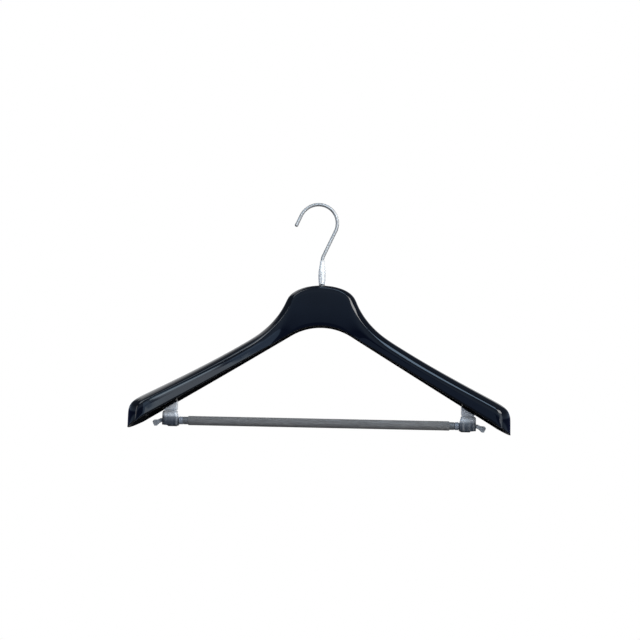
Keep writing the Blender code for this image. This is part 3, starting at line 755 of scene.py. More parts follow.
def inner_frame():
    """Hook boss, ribs and bracket sockets, trimmed to end halfway through the skin's wall."""
    web_reach = RIB_PLACE_SHARES[0] * HALF_SPAN
    web_half = RIB_THICK / 2
    top = NECK_TOP_Z + OVERRUN
    made = rod("inner_frame", BOSS_RADIUS, BOSS_FOOT_Z, top)
    web = box("web", (-web_reach, -web_half, BOSS_FOOT_Z + WALL), (web_reach, web_half, top + OVERRUN))
    boolean(made, web, "UNION")
    socket_half = PLUG_HALF_WIDTH + GAP + SOCKET_WALL
    socket_depth = PLUG_DEPTH + 2 * (GAP + SOCKET_WALL)
    places = [share * HALF_SPAN for share in RIB_PLACE_SHARES]
    places += [BRACKET_X + edge * (socket_half - SOCKET_WALL / 2) for edge in (-1, 1)]
    for side in (-1, 1):
        for x in places:
            boolean(made, rib(side, x), "UNION")
        boolean(made, socket(side, socket_half, socket_depth), "UNION")
    return boolean(made, closed_core(), "INTERSECT")


def cut_holes(shell):
    """The wire's hole and the two bracket sockets."""
    boolean(shell, rod("wire_hole", WIRE_HOLE, BOSS_FOOT_Z - OVERRUN, NECK_TOP_Z + OVERRUN), "DIFFERENCE")
    half = PLUG_HALF_WIDTH + GAP
    half_y = PLUG_DEPTH / 2 + GAP
    low_z = rim_z(BRACKET_X + half) - OVERRUN
    for side in (-1, 1):
        x = side * BRACKET_X
        y = middle_y(BRACKET_X)
        hole = box("hole", (x - half, y - half_y, low_z), (x + half, y + half_y, plug_top_z() + GAP))
        boolean(shell, hole, "DIFFERENCE")


def make_shell(gloss, satin):
    shell = shell_skin()
    two_finishes(shell, gloss, satin)
    ribs = inner_frame()
    two_finishes(ribs, gloss, satin, 1)
    boolean(shell, ribs, "UNION")
    cut_holes(shell)
    placed(shell, "hanger", "shell", "hanger_shell")


# Hook


def tip_radius(back):
    """Wire radius at a distance from the tip's end: a rounded end on a slight bulge."""
    swell = 1 + TIP_BULGE_SHARE * (1 - ease(back / TIP_BULGE_LENGTH))
    if back >= WIRE_RADIUS:
        return WIRE_RADIUS * swell
    return swell * sqrt(max(WIRE_RADIUS**2 - (WIRE_RADIUS - back) ** 2, (WIRE_RADIUS / 8) ** 2))


def wire_route():
    """The wire's middle line in x and z with its radius, from the tip to the end in the neck."""
    slant = radians(CROOK_SLANT_DEG)
    across = CROOK_RADIUS * cos(slant)
    rise = CROOK_RADIUS * sin(slant)
    route = []
    for step in range(TIP_STEPS):
        back = TIP_LENGTH * (step / TIP_STEPS) ** 2
        along = TIP_LENGTH - back
        x = -AXIS_X - across - along * sin(slant)
        route.append((x, CROOK_CENTRE_Z + rise - along * cos(slant), tip_radius(back)))
    for step in range(180 // ARC_STEP_DEG + 1):
        angle = radians(180 - CROOK_SLANT_DEG - ARC_STEP_DEG * step)
        x = CROOK_RADIUS * cos(angle) - AXIS_X
        route.append((x, CROOK_RADIUS * sin(angle) + CROOK_CENTRE_Z, WIRE_RADIUS))
    meeting_z = CROOK_CENTRE_Z - rise - (across - AXIS_X) / tan(slant)
    kink_end = meeting_z - KINK_RADIUS * tan(slant / 2)
    for step in range(KINK_STEPS + 1):
        angle = slant * (1 - step / KINK_STEPS)
        route.append((KINK_RADIUS * (1 - cos(angle)), kink_end + KINK_RADIUS * sin(angle), WIRE_RADIUS))
    route.append((0, WIRE_END_Z + WIRE_RADIUS / 4, WIRE_RADIUS))
    route.append((0, WIRE_END_Z, WIRE_RADIUS * 3 / 4))
    return route


def make_wire(metal):
    """Rings along the wire; each vertex also keeps its place on the wire laid out straight."""
    route = wire_route()
    rings = []
    straight = []
    length = 0
    for index, (x, z, radius) in enumerate(route):
        before = route[max(index - 1, 0)]
        after = route[min(index + 1, len(route) - 1)]
        along = unit(after[0] - before[0], after[1] - before[1])
        length += hypot(x - before[0], z - before[1])
        ring = []
        for across, depth in circle(radius):
            ring.append((x - along[1] * across, depth, z + along[0] * across))
            straight.append((across, depth, length))
        rings.append(ring)
    wire = loft("hook_wire_body", rings)
    place = wire.data.attributes.new("straight", "FLOAT_VECTOR", "POINT")
    place.data.foreach_set("vector", [value for point in straight for value in point])
    placed(wire, "hook", "wire", "hook_wire", finish=metal)


def ferrule_radius(share):
    """Outer radius of the spindle at a share of its length from the top."""
    if share < FERRULE_BELLY_SHARE:
        return mix(FERRULE_TOP_RADIUS, FERRULE_BELLY_RADIUS, ease(share / FERRULE_BELLY_SHARE))
    below = (share - FERRULE_BELLY_SHARE) / (1 - FERRULE_BELLY_SHARE)
    return mix(FERRULE_BELLY_RADIUS, FERRULE_FOOT_RADIUS, below**2)


def make_ferrule(metal):
    profile = [(ferrule_radius(0) - FERRULE_EDGE, FERRULE_TOP_Z)]
    for step in range(FERRULE_STEPS + 1):
        share = step / FERRULE_STEPS
        height = mix(FERRULE_TOP_Z - FERRULE_EDGE, FERRULE_FOOT_Z + FERRULE_EDGE, share)
        profile.append((ferrule_radius(share), height))
    profile.append((ferrule_radius(1) - FERRULE_EDGE, FERRULE_FOOT_Z))
    profile.append((WIRE_HOLE, FERRULE_FOOT_Z))
    profile.append((WIRE_HOLE, FERRULE_TOP_Z))
    placed(turned("ferrule_body", profile), "hook", "ferrule", "hook_ferrule", finish=metal)


def collar(name, radius, top, height, edge, bore_edge):
    """A ring round the wire: its outer edges and the bore's lower edge are broken."""
    low = top - height
    profile = [
        (radius - edge, top),
        (radius, top - edge),
        (radius, low + edge),
        (radius - edge, low),
        (WIRE_HOLE + bore_edge, low),
        (WIRE_HOLE, low + bore_edge),
        (WIRE_HOLE, top),
    ]
    return turned(name, profile)


def make_washer(metal):
    edge = WASHER_THICK / 5
    washer = collar("washer_body", WASHER_RADIUS, WASHER_TOP_Z, WASHER_THICK, edge, edge)
    placed(washer, "hook", "zinc", "hook_washer", finish=metal)


def make_nut(metal):
    """A six-sided nut whose corners are turned off at both ends."""
    nut = collar("nut_body", NUT_RADIUS, NUT_TOP_Z, NUT_HEIGHT, NUT_CHAMFER, NUT_CHAMFER / 2)
    ends = (NUT_TOP_Z - NUT_HEIGHT - OVERRUN, NUT_TOP_Z + OVERRUN)
    boolean(nut, loft("flats", [[(x, y, z) for x, y in circle(NUT_RADIUS, 6)] for z in ends]), "INTERSECT")
    placed(nut, "hook", "zinc", "hook_nut", finish=metal)


# Brackets: places are measured outboard from the bracket's middle and up from the bar's axis


def bell_inboard(height):
    """Inboard reach of the bell at a height over the bar's axis."""
    if height > BELL_TAPER:
        share = (height - BELL_TAPER) / (BELL_ABOVE - BELL_TAPER)
        return BELL_INBOARD - BELL_TAPER * share
    if height > -BELL_BELOW:
        return BELL_INBOARD
    share = (-BELL_BELOW - height) / (HEEL_BELOW - BELL_BELOW)
    return mix(BELL_INBOARD, HEEL_INBOARD, ease(share))


def bell_outboard(height):
    """Outboard reach of the bell: a round top corner, an upright side and the short heel."""
    if height > BELL_ABOVE - BELL_CORNER:
        rise = height - (BELL_ABOVE - BELL_CORNER)
        return BELL_OUTBOARD - BELL_CORNER + sqrt(max(BELL_CORNER**2 - rise**2, 0))
    if height > -BELL_BELOW:
        return BELL_OUTBOARD
    share = (-BELL_BELOW - height) / (HEEL_BELOW - BELL_BELOW)
    return mix(BELL_OUTBOARD, HEEL_OUTBOARD, ease(share * 2))


def bell_heights():
    """Heights of the bell's rings and how far each is drawn in at the faces, from the top down."""
    rows = []
    for sine, cosine in quarter_turn(BELL_END_ROWS)[:-1]:
        rows.append((BELL_ABOVE - BELL_TOP_ROUND * (1 - cosine) / 2, BELL_TOP_ROUND * (1 - sine) / 2))
    top = BELL_ABOVE - BELL_TOP_ROUND / 2
    for step in range(BELL_SIDE_ROWS + 1):
        rows.append((mix(top, -BELL_BELOW, step / BELL_SIDE_ROWS), 0))
    for sine, cosine in quarter_turn(BELL_END_ROWS)[1:]:
        rows.append((-BELL_BELOW - (HEEL_BELOW - BELL_BELOW) * sine, EDGE_ROUND * 2 * (1 - cosine)))
    return rows


def bell_ring(side, height, drawn_in):
    """A squarish ring, fluted on its front and back."""
    inboard = bell_inboard(height) - drawn_in / 3
    outboard = bell_outboard(height) - drawn_in / 3
    middle = (outboard - inboard) / 2
    half_x = (outboard + inboard) / 2
    lean = BELL_LEAN * (max(height - BELL_LEAN_START, 0) / (BELL_ABOVE - BELL_LEAN_START)) ** 2
    half_y = BELL_DEPTH / 2 - drawn_in - lean
    flute = FLUTE_DEPTH * ease((BELL_ABOVE - BELL_TOP_ROUND - height) / BELL_TOP_ROUND)
    ring = []
    for across, depth in circle(1, ROUND_STEPS * 2):
        x = abs(across) ** (1 / BELL_SQUARENESS) * (1 if across > 0 else -1)
        y = abs(depth) ** (1 / BELL_SQUARENESS) * (1 if depth > 0 else -1)
        hollow = flute * (1 + cos(2 * pi * FLUTES * (x + 1) / 2)) / 2 * ease(3 * (1 - abs(x)))
        ring.append((side * (BRACKET_X + middle + half_x * x), BAR_Y + y * (half_y - hollow), BAR_Z + height))
    return ring


def flange_z(x):
    """Underside of the slanted flange, which lies along the shell's rim."""
    return rim_z(x) - FLANGE_THICK + FLANGE_LAP


def post(side):
    """The post, with a narrow neck just over the bell."""
    inner = BRACKET_X - POST_INBOARD
    outer = BRACKET_X + POST_OUTBOARD
    low = BAR_Z + BELL_ABOVE - OVERRUN
    neck = BAR_Z + BELL_ABOVE + POST_NECK_HEIGHT
    top = lambda x: flange_z(x) + FLANGE_THICK / 2
    made = bevelled(block("post", side, inner, outer, lambda x: neck, top, POST_DEPTH), EDGE_ROUND)
    half_y = POST_DEPTH / 2 - POST_NECK_INSET
    xs = sorted((side * (inner + POST_NECK_INSET), side * (outer - POST_NECK_INSET)))
    stub = box("stub", (xs[0], BAR_Y - half_y, low), (xs[1], BAR_Y + half_y, neck + EDGE_ROUND))
    return boolean(made, stub, "UNION")


def flange(side):
    inner = BRACKET_X - POST_INBOARD + FLANGE_INNER_INSET
    outer = BRACKET_X + POST_OUTBOARD + EDGE_ROUND
    top = lambda x: flange_z(x) + FLANGE_THICK
    return bevelled(block("flange", side, inner, outer, flange_z, top, FLANGE_DEPTH), FLANGE_THICK / 4)


def plug(side):
    x = side * BRACKET_X
    half_y = PLUG_DEPTH / 2
    low_z = flange_z(BRACKET_X + PLUG_HALF_WIDTH) + FLANGE_THICK / 2
    low = (x - PLUG_HALF_WIDTH, BAR_Y - half_y, low_z)
    high = (x + PLUG_HALF_WIDTH, BAR_Y + half_y, plug_top_z())
    return box("plug", low, high)


def along_x(side):
    """Turns a piece's own Z to point outboard on its side."""
    return Matrix.Rotation(side * pi / 2, 4, "Y")


def make_bracket(word, side, upper_finish_painted_shade, bell_finish_painted_light):
    """The bell, with painted shade towards its foot and a painted highlight band near its top, and the upper
    parts, with painted shade where they stand inside the moulding.
    """
    rings = [bell_ring(side, height, drawn_in) for height, drawn_in in bell_heights()]
    made = loft("bracket_body_" + word, rings)
    upper = boolean(boolean(post(side), flange(side), "UNION"), plug(side), "UNION")
    two_finishes(made, bell_finish_painted_light, upper_finish_painted_shade)
    two_finishes(upper, bell_finish_painted_light, upper_finish_painted_shade, 1)
    boolean(made, upper, "UNION")
    low = BELL_FACE - OVERRUN
    high = BELL_BACK + OVERRUN
    bore = rod("bore", BUSH_RADIUS + GAP, low, high, along_x(side), (0, BAR_Y, BAR_Z))
    boolean(made, bore, "DIFFERENCE")
    placed(made, "hanger", "bracket", "bracket_" + word)


def make_bush(word, side, nylon):
    edge = BUSH_EDGE
    profile = [
        (BUSH_RADIUS, BELL_BACK),
        (BUSH_RADIUS, BELL_FACE - GAP),
        (BUSH_FLANGE_RADIUS - edge, BELL_FACE - GAP),
        (BUSH_FLANGE_RADIUS, BELL_FACE - GAP - edge),
        (BUSH_FLANGE_RADIUS, BUSH_END + edge),
        (BUSH_FLANGE_RADIUS - edge, BUSH_END),
        (PIN_HOLE, BUSH_END),
        (PIN_HOLE, BELL_BACK),
    ]
    made = turned("bush_body_" + word, profile)
    made.data.transform(along_x(side))
    placed(made, "hanger", "bush", "bracket_bush_" + word, finish=nylon, at=BAR_AXIS)


# Trouser bar: places are measured from its own axis


def make_tube(plastic):
    half = BUSH_END - GAP
    edge = GAP
    profile = [
        (TUBE_RADIUS - edge, half),
        (TUBE_RADIUS, half - edge),
        (TUBE_RADIUS, edge - half),
        (TUBE_RADIUS - edge, -half),
        (PIN_HOLE, -half),
        (PIN_HOLE, half),
    ]
    made = turned("tube_body", profile)
    made.data.transform(along_x(1))
    placed(made, "trouser_bar", "bar_tube", "bar_tube", finish=plastic, at=BAR_AXIS)


def sleeve_ring(x, drawn_in):
    """A ring of fine ribs that turn slowly about the bar along its length."""
    steps = SLEEVE_RIBS * POINTS_EACH_RIB
    turn = SLEEVE_TWIST * 2 * pi * x / SPAN
    ring = []
    for step in range(steps):
        angle = 2 * pi * step / steps + turn
        valley = (1 - cos(2 * pi * step / POINTS_EACH_RIB)) / 2
        radius = SLEEVE_RADIUS - drawn_in - SLEEVE_RIB_DEPTH * valley
        ring.append((x, radius * cos(angle), radius * sin(angle)))
    return ring


def make_sleeve(soft):
    half = BRACKET_X - SLEEVE_END_INSET
    bore = TUBE_RADIUS + GAP
    edge = (SLEEVE_RADIUS - bore) / 2
    turns = quarter_turn(SLEEVE_END_ROWS)[:-1]
    places = [(edge * (1 - cosine), edge * (1 - sine)) for sine, cosine in turns]
    rings = [sleeve_ring(from_end - half, drawn_in) for from_end, drawn_in in places]
    for step in range(SLEEVE_LONG_STEPS + 1):
        rings.append(sleeve_ring(mix(edge - half, half - edge, step / SLEEVE_LONG_STEPS), 0))
    rings += [sleeve_ring(half - from_end, drawn_in) for from_end, drawn_in in places[::-1]]
    for x in (half, -half):
        outer = rings[-1] if x > 0 else rings[0]
        rings.append([(x, bore * y / hypot(y, z), bore * z / hypot(y, z)) for _, y, z in outer])
    made = loft("sleeve_body", rings, ring_of_rings=True)
    sharp_deg = RIBBED_SHARP_ANGLE_DEG
    placed(made, "trouser_bar", "bar_sleeve", "bar_sleeve", finish=soft, at=BAR_AXIS, sharp_deg=sharp_deg)


def tail_point(side, along, across, radius):
    """A corner of the drooping fishtail, measured from where it leaves the bracket."""
    droop = radians(TAIL_DROOP_DEG)
    root_x = BELL_BACK + GAP + TAIL_NECK_WIDTH / 2 * sin(droop)
    x = root_x + along * cos(droop) - across * sin(droop)
    return side * x, -along * sin(droop) - across * cos(droop), radius


def tail_outline(side):
    neck = TAIL_NECK_WIDTH / 2
    end = TAIL_END_WIDTH / 2
    flare_start, flare_end = (TAIL_LENGTH * share for share in TAIL_FLARE_SHARES)
    corners = []
    for across_sign in (-1, 1):
        edge = [
            (0, neck, 0),
            (flare_start, neck, TAIL_LENGTH / 2),
            (flare_end, end, TAIL_CORNER),
            (TAIL_LENGTH, end * TAIL_FLARE_SHARES[1], TAIL_CORNER),
        ]
        for along, across, radius in edge[::across_sign]:
            corners.append(tail_point(side, along, across * across_sign, radius))
    return rounded(corners)


def tail_dish(side, face):
    """A shallow dish in one face of the fishtail, wider towards its end."""
    start, end = (TAIL_LENGTH * share for share in TAIL_DISH_SHARES)
    half = TAIL_DISH_WIDTH / 2
    places = ((start, -half / 2), (end, -half), (end, half), (start, half / 2))
    corners = [tail_point(side, along, across, half / 3) for along, across in places]
    depth = TAIL_THICK / 2 - TAIL_WEB / 2 + OVERRUN
    return flat("dish", rounded(corners), depth, face * (TAIL_WEB / 2 + depth / 2))


def make_tail(word, side, smoke):
    made = bevelled(flat("tail_body_" + word, tail_outline(side), TAIL_THICK, 0), TAIL_EDGE)
    for face in (-1, 1):
        boolean(made, tail_dish(side, face), "DIFFERENCE")
    low = BUSH_END - PIN_GRIP
    high = BELL_BACK + GAP + TAIL_NECK_WIDTH / 2
    boolean(made, rod("pin", PIN_RADIUS, low, high, along_x(side)), "UNION")
    placed(made, "trouser_bar", "bracket", "skirt_hook_" + word, finish=smoke, at=BAR_AXIS)


# Materials


def new_material(name, colour, roughness, **values):
    """A plain shader, whose even values are set on its own sockets."""
    made = bpy.data.materials.new(name)
    made.use_nodes = True
    made.diffuse_color = (*colour, 1)
    shader = made.node_tree.nodes["Principled BSDF"]
    shader.inputs["Base Color"].default_value = (*colour, 1)
    shader.inputs["Roughness"].default_value = roughness
    for socket_name, value in values.items():
        shader.inputs[socket_name.replace("_", " ")].default_value = value
    return made


def node(made, kind, **settings):
    item = made.node_tree.nodes.new(kind)
    for name, value in settings.items():
        if name in item.inputs:
            item.inputs[name].default_value = value
        else:
            setattr(item, name, value)
    return item


def link(made, source, output, target, entry):
    made.node_tree.links.new(source.outputs[output], target.inputs[entry])


def into_shader(made, source, output, entry):
    link(made, source, output, made.node_tree.nodes["Principled BSDF"], entry)


def xyz_node(made, places="Object"):
    item = node(made, "ShaderNodeSeparateXYZ")
    link(made, node(made, "ShaderNodeTexCoord"), places, item, "Vector")
    return item


def noise(made, scale, detail=4.0, rough=0.55, stretch=(1, 1, 1), attribute=None):
    """Noise by object places, or by a named attribute, which are stretched in each direction."""
    if attribute:
        source = node(made, "ShaderNodeAttribute", attribute_name=attribute)
    else:
        source = node(made, "ShaderNodeTexCoord")
    places = node(made, "ShaderNodeMapping", Scale=stretch)
    link(made, source, "Vector" if attribute else "Object", places, "Vector")
    item = node(made, "ShaderNodeTexNoise", Scale=scale, Detail=detail, Roughness=rough)
    link(made, places, "Vector", item, "Vector")
    return item


def to_range(made, source, low, high, start=0.3, end=0.7, output=0):
    """Maps start to end, or the middle part of a noise, to the range low to high."""
    ends = {"From Min": start, "From Max": end, "To Min": low, "To Max": high}
    item = node(made, "ShaderNodeMapRange", **ends)
    link(made, source, output, item, "Value")
    return item


def ramp_node(made, source, output, stops):
    """A colour ramp through stops of place and colour."""
    ramp = node(made, "ShaderNodeValToRGB")
    elements = ramp.color_ramp.elements
    for element, (place, colour) in zip(elements, (stops[0], stops[-1])):
        element.position = place
        element.color = (*colour, 1)
    for place, colour in stops[1:-1]:
        elements.new(place).color = (*colour, 1)
    link(made, source, output, ramp, "Fac")
    return ramp


def tint(made, source, dark, light):
    """Lets the base colour wander between two near tones."""
    into_shader(made, ramp_node(made, source, 0, ((0.3, dark), (0.7, light))), "Color", "Base Color")


def shaded(made, source, output, stops):
    """Lets the base colour follow a value, by stops of value and colour."""
    low = stops[0][0]
    high = stops[-1][0]
    share = to_range(made, source, 0, 1, low, high, output)
    shares = [((value - low) / (high - low), colour) for value, colour in stops]
    into_shader(made, ramp_node(made, share, "Result", shares), "Color", "Base Color")


def bump(made, source, distance, strength, before=None):
    item = node(made, "ShaderNodeBump", Strength=strength, Distance=distance)
    link(made, source, 0, item, "Height")
    if before:
        link(made, before, "Normal", item, "Normal")
    into_shader(made, item, "Normal", "Normal")
    return item


def rough_from(made, source, low, high):
    into_shader(made, to_range(made, source, low, high), "Result", "Roughness")


def black_gloss():
    """Near-black navy moulding: a slight orange peel and a few handling marks in its gloss."""
    made = new_material("black_gloss_plastic", (0.0022, 0.0032, 0.0060), 0.09, IOR=1.46)
    tint(made, noise(made, 22, 3), (0.0016, 0.0024, 0.0046), (0.0030, 0.0044, 0.0080))
    rough_from(made, noise(made, 240, 4, 0.6, stretch=(1, 1, 3.5)), 0.022, 0.040)
    sway = bump(made, noise(made, 34, 1), 0.00004, 0.15)
    bump(made, noise(made, 260, 2), 0.000003, 0.15, sway)
    return made


def black_satin():
    """The moulding's inner side, which came off a duller mould."""
    made = new_material("black_satin_plastic", (0.003, 0.003, 0.004), 0.5, Specular_IOR_Level=0.10)
    tint(made, noise(made, 60), (0.002, 0.002, 0.003), (0.004, 0.004, 0.005))
    grain = noise(made, 1600, 3)
    rough_from(made, grain, 0.45, 0.60)
    bump(made, grain, 0.00002, 0.3)
    return made


def drawn_nickel():
    """Satin nickel plate over drawn wire: fine lines run along it."""
    made = new_material("satin_nickel_wire", (0.51, 0.50, 0.48), 0.56, Metallic=1.0)
    lines = noise(made, 900, 2, stretch=(1, 1, 0.02), attribute="straight")
    tint(made, lines, (0.49, 0.48, 0.46), (0.53, 0.52, 0.50))
    rough_from(made, noise(made, 260, 2, stretch=(1, 1, 0.1), attribute="straight"), 0.53, 0.60)
    bump(made, lines, 0.000002, 0.1)
    return made


def bright_ferrule():
    """A bright turned ferrule with faint rings left by the polishing."""
    made = new_material("bright_ferrule", (0.84, 0.84, 0.84), 0.34, Metallic=0.30)
    rings = noise(made, 1500, 1, stretch=(0.05, 0.05, 1))
    tint(made, noise(made, 160), (0.84, 0.81, 0.76), (0.88, 0.85, 0.80))
    rough_from(made, rings, 0.33, 0.37)
    bump(made, rings, 0.000002, 0.1)
    return made


def zinc_plate():
    made = new_material("zinc_plated_steel", (0.58, 0.59, 0.60), 0.36, Metallic=1.0)
    tint(made, noise(made, 500), (0.46, 0.47, 0.49), (0.66, 0.67, 0.68))
    rough_from(made, noise(made, 900), 0.28, 0.46)
    return made


def smoke_moulding(name, colour):
    """Smoke-grey moulding, uneven in its gloss and its surface."""
    made = new_material(name, colour, 0.2, IOR=1.49)
    rough_from(made, noise(made, 500), 0.26, 0.33)
    bump(made, noise(made, 150, 1), 0.00005, 0.15)
    return made


def tail_smoke():
    """The skirt hooks, with faint flow streaks."""
    made = smoke_moulding("smoke_grey_plastic", (0.40, 0.41, 0.42))
    tint(made, noise(made, 240, 2, stretch=(1, 1, 0.3)), (0.30, 0.31, 0.32), (0.40, 0.41, 0.42))
    return made


def bell_smoke_painted_light():
    """The bell: painted shade darkens it towards its foot, and a painted highlight band lightens it just
    under its top.
    """
    made = smoke_moulding("thick_smoke_plastic", (0.32, 0.32, 0.33))
    low = BAR_Z - HEEL_BELOW
    top = BAR_Z + BELL_ABOVE
    # Painted light by height: painted shade at the foot, and a painted highlight band at 0.74 of the height.
    stops = (
        (low, (0.012, 0.014, 0.018)),
        (mix(low, top, 0.30), (0.045, 0.050, 0.058)),
        (mix(low, top, 0.56), (0.13, 0.135, 0.145)),
        (mix(low, top, 0.74), (0.62, 0.62, 0.62)),
        (top, (0.24, 0.24, 0.245)),
    )
    shaded(made, xyz_node(made), "Z", stops)
    return made


def post_smoke_painted_shade():
    """The upper parts: light grey below the arm, with painted shade, a near-black base colour and fading
    gloss, where they stand inside the moulding.
    """
    made = smoke_moulding("smoke_plastic", (0.62, 0.63, 0.64))
    slope = (rim_z(BRACKET_X + POST_INBOARD) - rim_z(BRACKET_X - POST_INBOARD)) / (2 * POST_INBOARD)
    rim_level = rim_z(BRACKET_X) - slope * BRACKET_X
    place = xyz_node(made)
    across = node(made, "ShaderNodeMath", operation="ABSOLUTE")
    link(made, place, "X", across, 0)
    level = node(made, "ShaderNodeMath", operation="MULTIPLY_ADD")
    link(made, across, 0, level, 0)
    level.inputs[1].default_value = -slope
    link(made, place, "Z", level, 2)
    low = rim_level - POST_PAINTED_SHADE_START
    high = rim_level - POST_PAINTED_SHADE_END
    # Painted shade: above the rim line the base colour turns near black and the gloss fades.
    shaded(made, level, 0, ((low, (0.57, 0.58, 0.59)), (high, (0.004, 0.004, 0.005))))
    into_shader(made, to_range(made, level, 0.5, 0.02, low, high), "Result", "Specular IOR Level")
    return made


def pale_nylon():
    made = new_material("pale_grey_plastic", (0.19, 0.20, 0.22), 0.28, IOR=1.49)
    tint(made, noise(made, 300), (0.17, 0.18, 0.20), (0.21, 0.22, 0.24))
    rough_from(made, noise(made, 800), 0.22, 0.34)
    return made


def dark_tube():
    made = new_material("dark_grey_plastic", (0.10, 0.10, 0.10), 0.38)
    lines = noise(made, 1500, 3, stretch=(0.03, 1, 1))
    tint(made, lines, (0.075, 0.076, 0.078), (0.13, 0.13, 0.13))
    rough_from(made, lines, 0.30, 0.46)
    return made


def ribbed_grey():
    """Soft grey sleeve, a little dusty, with streaks that follow its length."""
    made = new_material("grey_ribbed_sleeve", (0.138, 0.130, 0.121), 0.5)
    streaks = noise(made, 900, 5, 0.65, stretch=(0.05, 1, 1))
    tint(made, streaks, (0.092, 0.086, 0.080), (0.190, 0.179, 0.167))
    grain = noise(made, 2600, 3, stretch=(0.4, 1, 1))
    rough_from(made, grain, 0.40, 0.60)
    bump(made, grain, 0.00004, 0.4)
    return made


# Camera, lights and stage

CAMERA_PLACE = (0.0697, -1.2982, -0.2846)
CAMERA_YAW_DEG = 2.88
CAMERA_PITCH_DEG = 6.615
CAMERA_ROLL_DEG = 1.27
CAMERA_FOCUS_PX = 1131.2
CAMERA_SENSOR_MM = 36
PHOTO_PX = 640
FLOOR_Z = -1.1
FLOOR_EVEN_SHARE = 0.75
STAGE_HALF = 4.0
BACKDROP_Y = 3.0
BACKDROP_HALF = 1.7
BACKDROP_TOP_Z = 2.2
LIT_MIDDLE = (0, 0, -0.15)
FACE_PANEL_Y = -1.60
FACE_SLANT_DEG = 30.4
WHITE = (1, 1, 1)
GREY_BLUE = (0.80, 0.90, 1.0)
PALE_BLUE = (0.73, 0.88, 1.0)
TEAL = (0.47, 0.76, 1.0)
BLUE = (0.48, 0.70, 1.0)
ROOM_STOPS = (
    (0.548, (0.03, 0.04, 0.12)),
    (0.562, (0.19, 0.27, 0.42)),
    (0.575, (0.30, 0.40, 0.56)),
    (0.72, (0.10, 0.12, 0.15)),
)


def add_camera():
    data = bpy.data.cameras.new("camera")
    data.sensor_width = CAMERA_SENSOR_MM
    data.lens = CAMERA_FOCUS_PX / PHOTO_PX * data.sensor_width
    camera = bpy.data.objects.new("camera", data)
    bpy.context.scene.collection.objects.link(camera)
    turn = Matrix.Rotation(radians(CAMERA_YAW_DEG), 4, "Z")
    turn @= Matrix.Rotation(radians(90 + CAMERA_PITCH_DEG), 4, "X")
    turn @= Matrix.Rotation(radians(CAMERA_ROLL_DEG), 4, "Z")
    camera.matrix_world = Matrix.Translation(CAMERA_PLACE) @ turn
    bpy.context.scene.camera = camera


def add_panel(name, place, size, brightness, colour=WHITE, target=LIT_MIDDLE, slant_deg=0):
    """A soft light whose face has the brightness, where 1 is a white that the camera shows as white."""
    data = bpy.data.lights.new(name, "AREA")
    data.shape = "RECTANGLE"
    data.size, data.size_y = size
    data.energy = brightness * pi * size[0] * size[1]
    data.color = colour
    light = bpy.data.objects.new(name, data)
    light.visible_camera = False
    bpy.context.scene.collection.objects.link(light)
    way = Vector(target) - Vector(place)
    light.rotation_mode = "QUATERNION"
    light.rotation_quaternion = way.to_track_quat("-Z", "Y") @ Quaternion((0, 0, 1), radians(slant_deg))
    light.location = place


def seen_node(made, *other_rays):
    """A node whose first output is Is Camera Ray, with rays of the other named kinds added."""
    path = node(made, "ShaderNodeLightPath")
    seen = path
    for ray in other_rays:
        total = node(made, "ShaderNodeMath", operation="ADD", use_clamp=True)
        link(made, seen, 0, total, 0)
        link(made, path, ray, total, 1)
        seen = total
    return seen


def dull_and_glow(name, dull_grey, glow_grey):
    """A material that mixes a dull surface with an even glow, and the mixer that chooses."""
    made = bpy.data.materials.new(name)
    made.use_nodes = True
    made.node_tree.nodes.clear()
    dull = node(made, "ShaderNodeBsdfDiffuse", Color=(dull_grey, dull_grey, dull_grey, 1))
    glow = node(made, "ShaderNodeEmission", Color=(glow_grey, glow_grey, glow_grey, 1), Strength=1.0)
    choice = node(made, "ShaderNodeMixShader")
    link(made, dull, 0, choice, 1)
    link(made, glow, 0, choice, 2)
    link(made, choice, 0, node(made, "ShaderNodeOutputMaterial"), "Surface")
    return made, choice


def white_backdrop():
    """White as seen directly, in metal and through plastic, and a dull wall to all other light."""
    made, choice = dull_and_glow("backdrop", 0.5, 1)
    link(made, seen_node(made, "Is Glossy Ray", "Is Transmission Ray"), 0, choice, 0)
    return made


def add_plane(name, corners, made):
    shape = bmesh.new()
    shape.faces.new([shape.verts.new(corner) for corner in corners])
    obj = from_bmesh(name, shape)
    obj.data.materials.append(made)


def pale_floor():
    """A pale floor: mostly even as seen directly, with the object's soft shadow left in it."""
    made, choice = dull_and_glow("floor", 0.30, 0.94)
    link(made, to_range(made, seen_node(made), 0, FLOOR_EVEN_SHARE, 0, 1), "Result", choice, 0)
    return made


def rectangle(left, right, low, high):
    return [(left, low), (right, low), (right, high), (left, high)]


def add_stage():
    floor = rectangle(-STAGE_HALF, STAGE_HALF, -STAGE_HALF, BACKDROP_Y)
    add_plane("floor", [(x, y, FLOOR_Z) for x, y in floor], pale_floor())
    wall = rectangle(-BACKDROP_HALF, BACKDROP_HALF, FLOOR_Z, BACKDROP_TOP_Z)
    add_plane("backdrop", [(x, BACKDROP_Y, z) for x, z in wall], white_backdrop())


def add_world():
    """White as seen directly and through plastic; to all other light a dim, grey blue room."""
    world = bpy.data.worlds.new("studio")
    bpy.context.scene.world = world
    world.use_nodes = True
    room = world.node_tree.nodes["Background"]
    white = node(world, "ShaderNodeBackground", Color=(1, 1, 1, 1), Strength=1.0)
    choice = node(world, "ShaderNodeMixShader")
    link(world, seen_node(world, "Is Transmission Ray"), 0, choice, 0)
    link(world, room, 0, choice, 1)
    link(world, white, 0, choice, 2)
    link(world, choice, 0, world.node_tree.nodes["World Output"], "Surface")
    height = to_range(world, xyz_node(world, "Generated"), 0, 1, -1, 1, "Z")
    link(world, ramp_node(world, height, "Result", ROOM_STOPS), "Color", room, "Color")


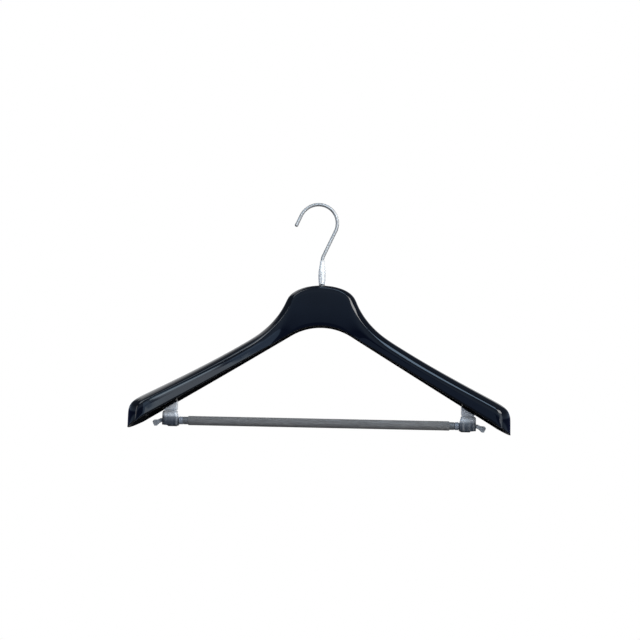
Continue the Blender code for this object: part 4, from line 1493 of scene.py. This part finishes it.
def add_face_panel(name, along, across, brightness, colour):
    """A panel in front of the left arm, on the slanted band that its face reflects.

    Both ranges are metres in that plane: along the band downward, and across it to the right.
    """
    slant = radians(FACE_SLANT_DEG)
    mid_along = sum(along) / 2
    mid_across = sum(across) / 2
    x = mid_along * sin(slant) + mid_across * cos(slant)
    z = mid_across * sin(slant) - mid_along * cos(slant)
    size = (across[1] - across[0], along[1] - along[0])
    place = (x, FACE_PANEL_Y, z)
    add_panel("face_" + name, place, size, brightness, colour, (x, 0, z), FACE_SLANT_DEG)


def add_lights():
    """Panels by place, size, brightness and colour; most of them face the hanger's middle."""
    add_panel("key", (1.45, -1.25, 1.00), (1.5, 0.7), 8.0)
    add_panel("key_blue_side", (0.25, -1.25, 1.00), (0.80, 0.7), 5.5, (0.54, 0.75, 1.0))
    add_panel("key_dim_side", (-0.75, -1.25, 1.00), (1.0, 0.7), 2.0, (0.70, 0.85, 1.0))
    add_panel("bell_light", (-0.43, -1.25, 0.58), (0.26, 0.45), 5.0)
    add_panel("left_over", (-1.0, 0.10, 1.4), (1.3, 0.6), 0.4)
    add_panel("left_rear", (-1.0, 0.75, 1.4), (1.3, 0.7), 0.9)
    add_panel("left_far", (-1.0, 1.50, 1.35), (1.3, 0.9), 1.1)
    add_panel("right", (1.25, -1.05, -0.25), (0.9, 1.5), 1.6, (0.84, 0.93, 1.0))
    add_panel("left", (-1.40, -0.95, 0.0), (0.35, 0.9), 1.8)
    add_panel("front_right", (0.80, -1.45, -0.25), (0.5, 0.4), 4.0, target=(0.18, 0, -0.23))
    add_panel("rear", (0.0, 1.45, 0.45), (2.4, 1.2), 1.3)
    add_face_panel("lens", (0.07, 0.95), (0.2285, 0.3000), 2.1, GREY_BLUE)
    add_face_panel("lens_top", (-0.07, 0.07), (0.2285, 0.3000), 5.5, PALE_BLUE)
    add_face_panel("lens_side", (0.28, 0.95), (0.2215, 0.2285), 2.6, PALE_BLUE)
    add_face_panel("teal", (-0.25, -0.07), (0.2335, 0.2700), 1.6, TEAL)
    for name, start, brightness in (("high", -0.05, 1.0), ("middle", 0.12, 1.3), ("low", 0.30, 1.3)):
        add_face_panel("blue_" + name, (start, 0.95), (0.1850, 0.2215), brightness, BLUE)
    place = (-0.63, FACE_PANEL_Y, -0.30)
    add_panel("face_right", place, (0.30, 0.62), 0.30, BLUE, (0.12, 0, -0.25), -FACE_SLANT_DEG)


def main():
    view = bpy.context.scene.view_settings
    view.view_transform = "Standard"
    zinc = zinc_plate()
    nylon = pale_nylon()
    # The bracket finishes carry painted light: painted shade on both, and a painted highlight band on the
    # bell (thick).
    streaked, upper_painted_shade, thick = tail_smoke(), post_smoke_painted_shade(), bell_smoke_painted_light()
    make_shell(black_gloss(), black_satin())
    make_wire(drawn_nickel())
    make_ferrule(bright_ferrule())
    make_washer(zinc)
    make_nut(zinc)
    make_tube(dark_tube())
    make_sleeve(ribbed_grey())
    for word, side in (("left", -1), ("right", 1)):
        make_bracket(word, side, upper_painted_shade, thick)
        make_bush(word, side, nylon)
        make_tail(word, side, streaked)
    add_camera()
    add_world()
    add_lights()
    add_stage()


main()
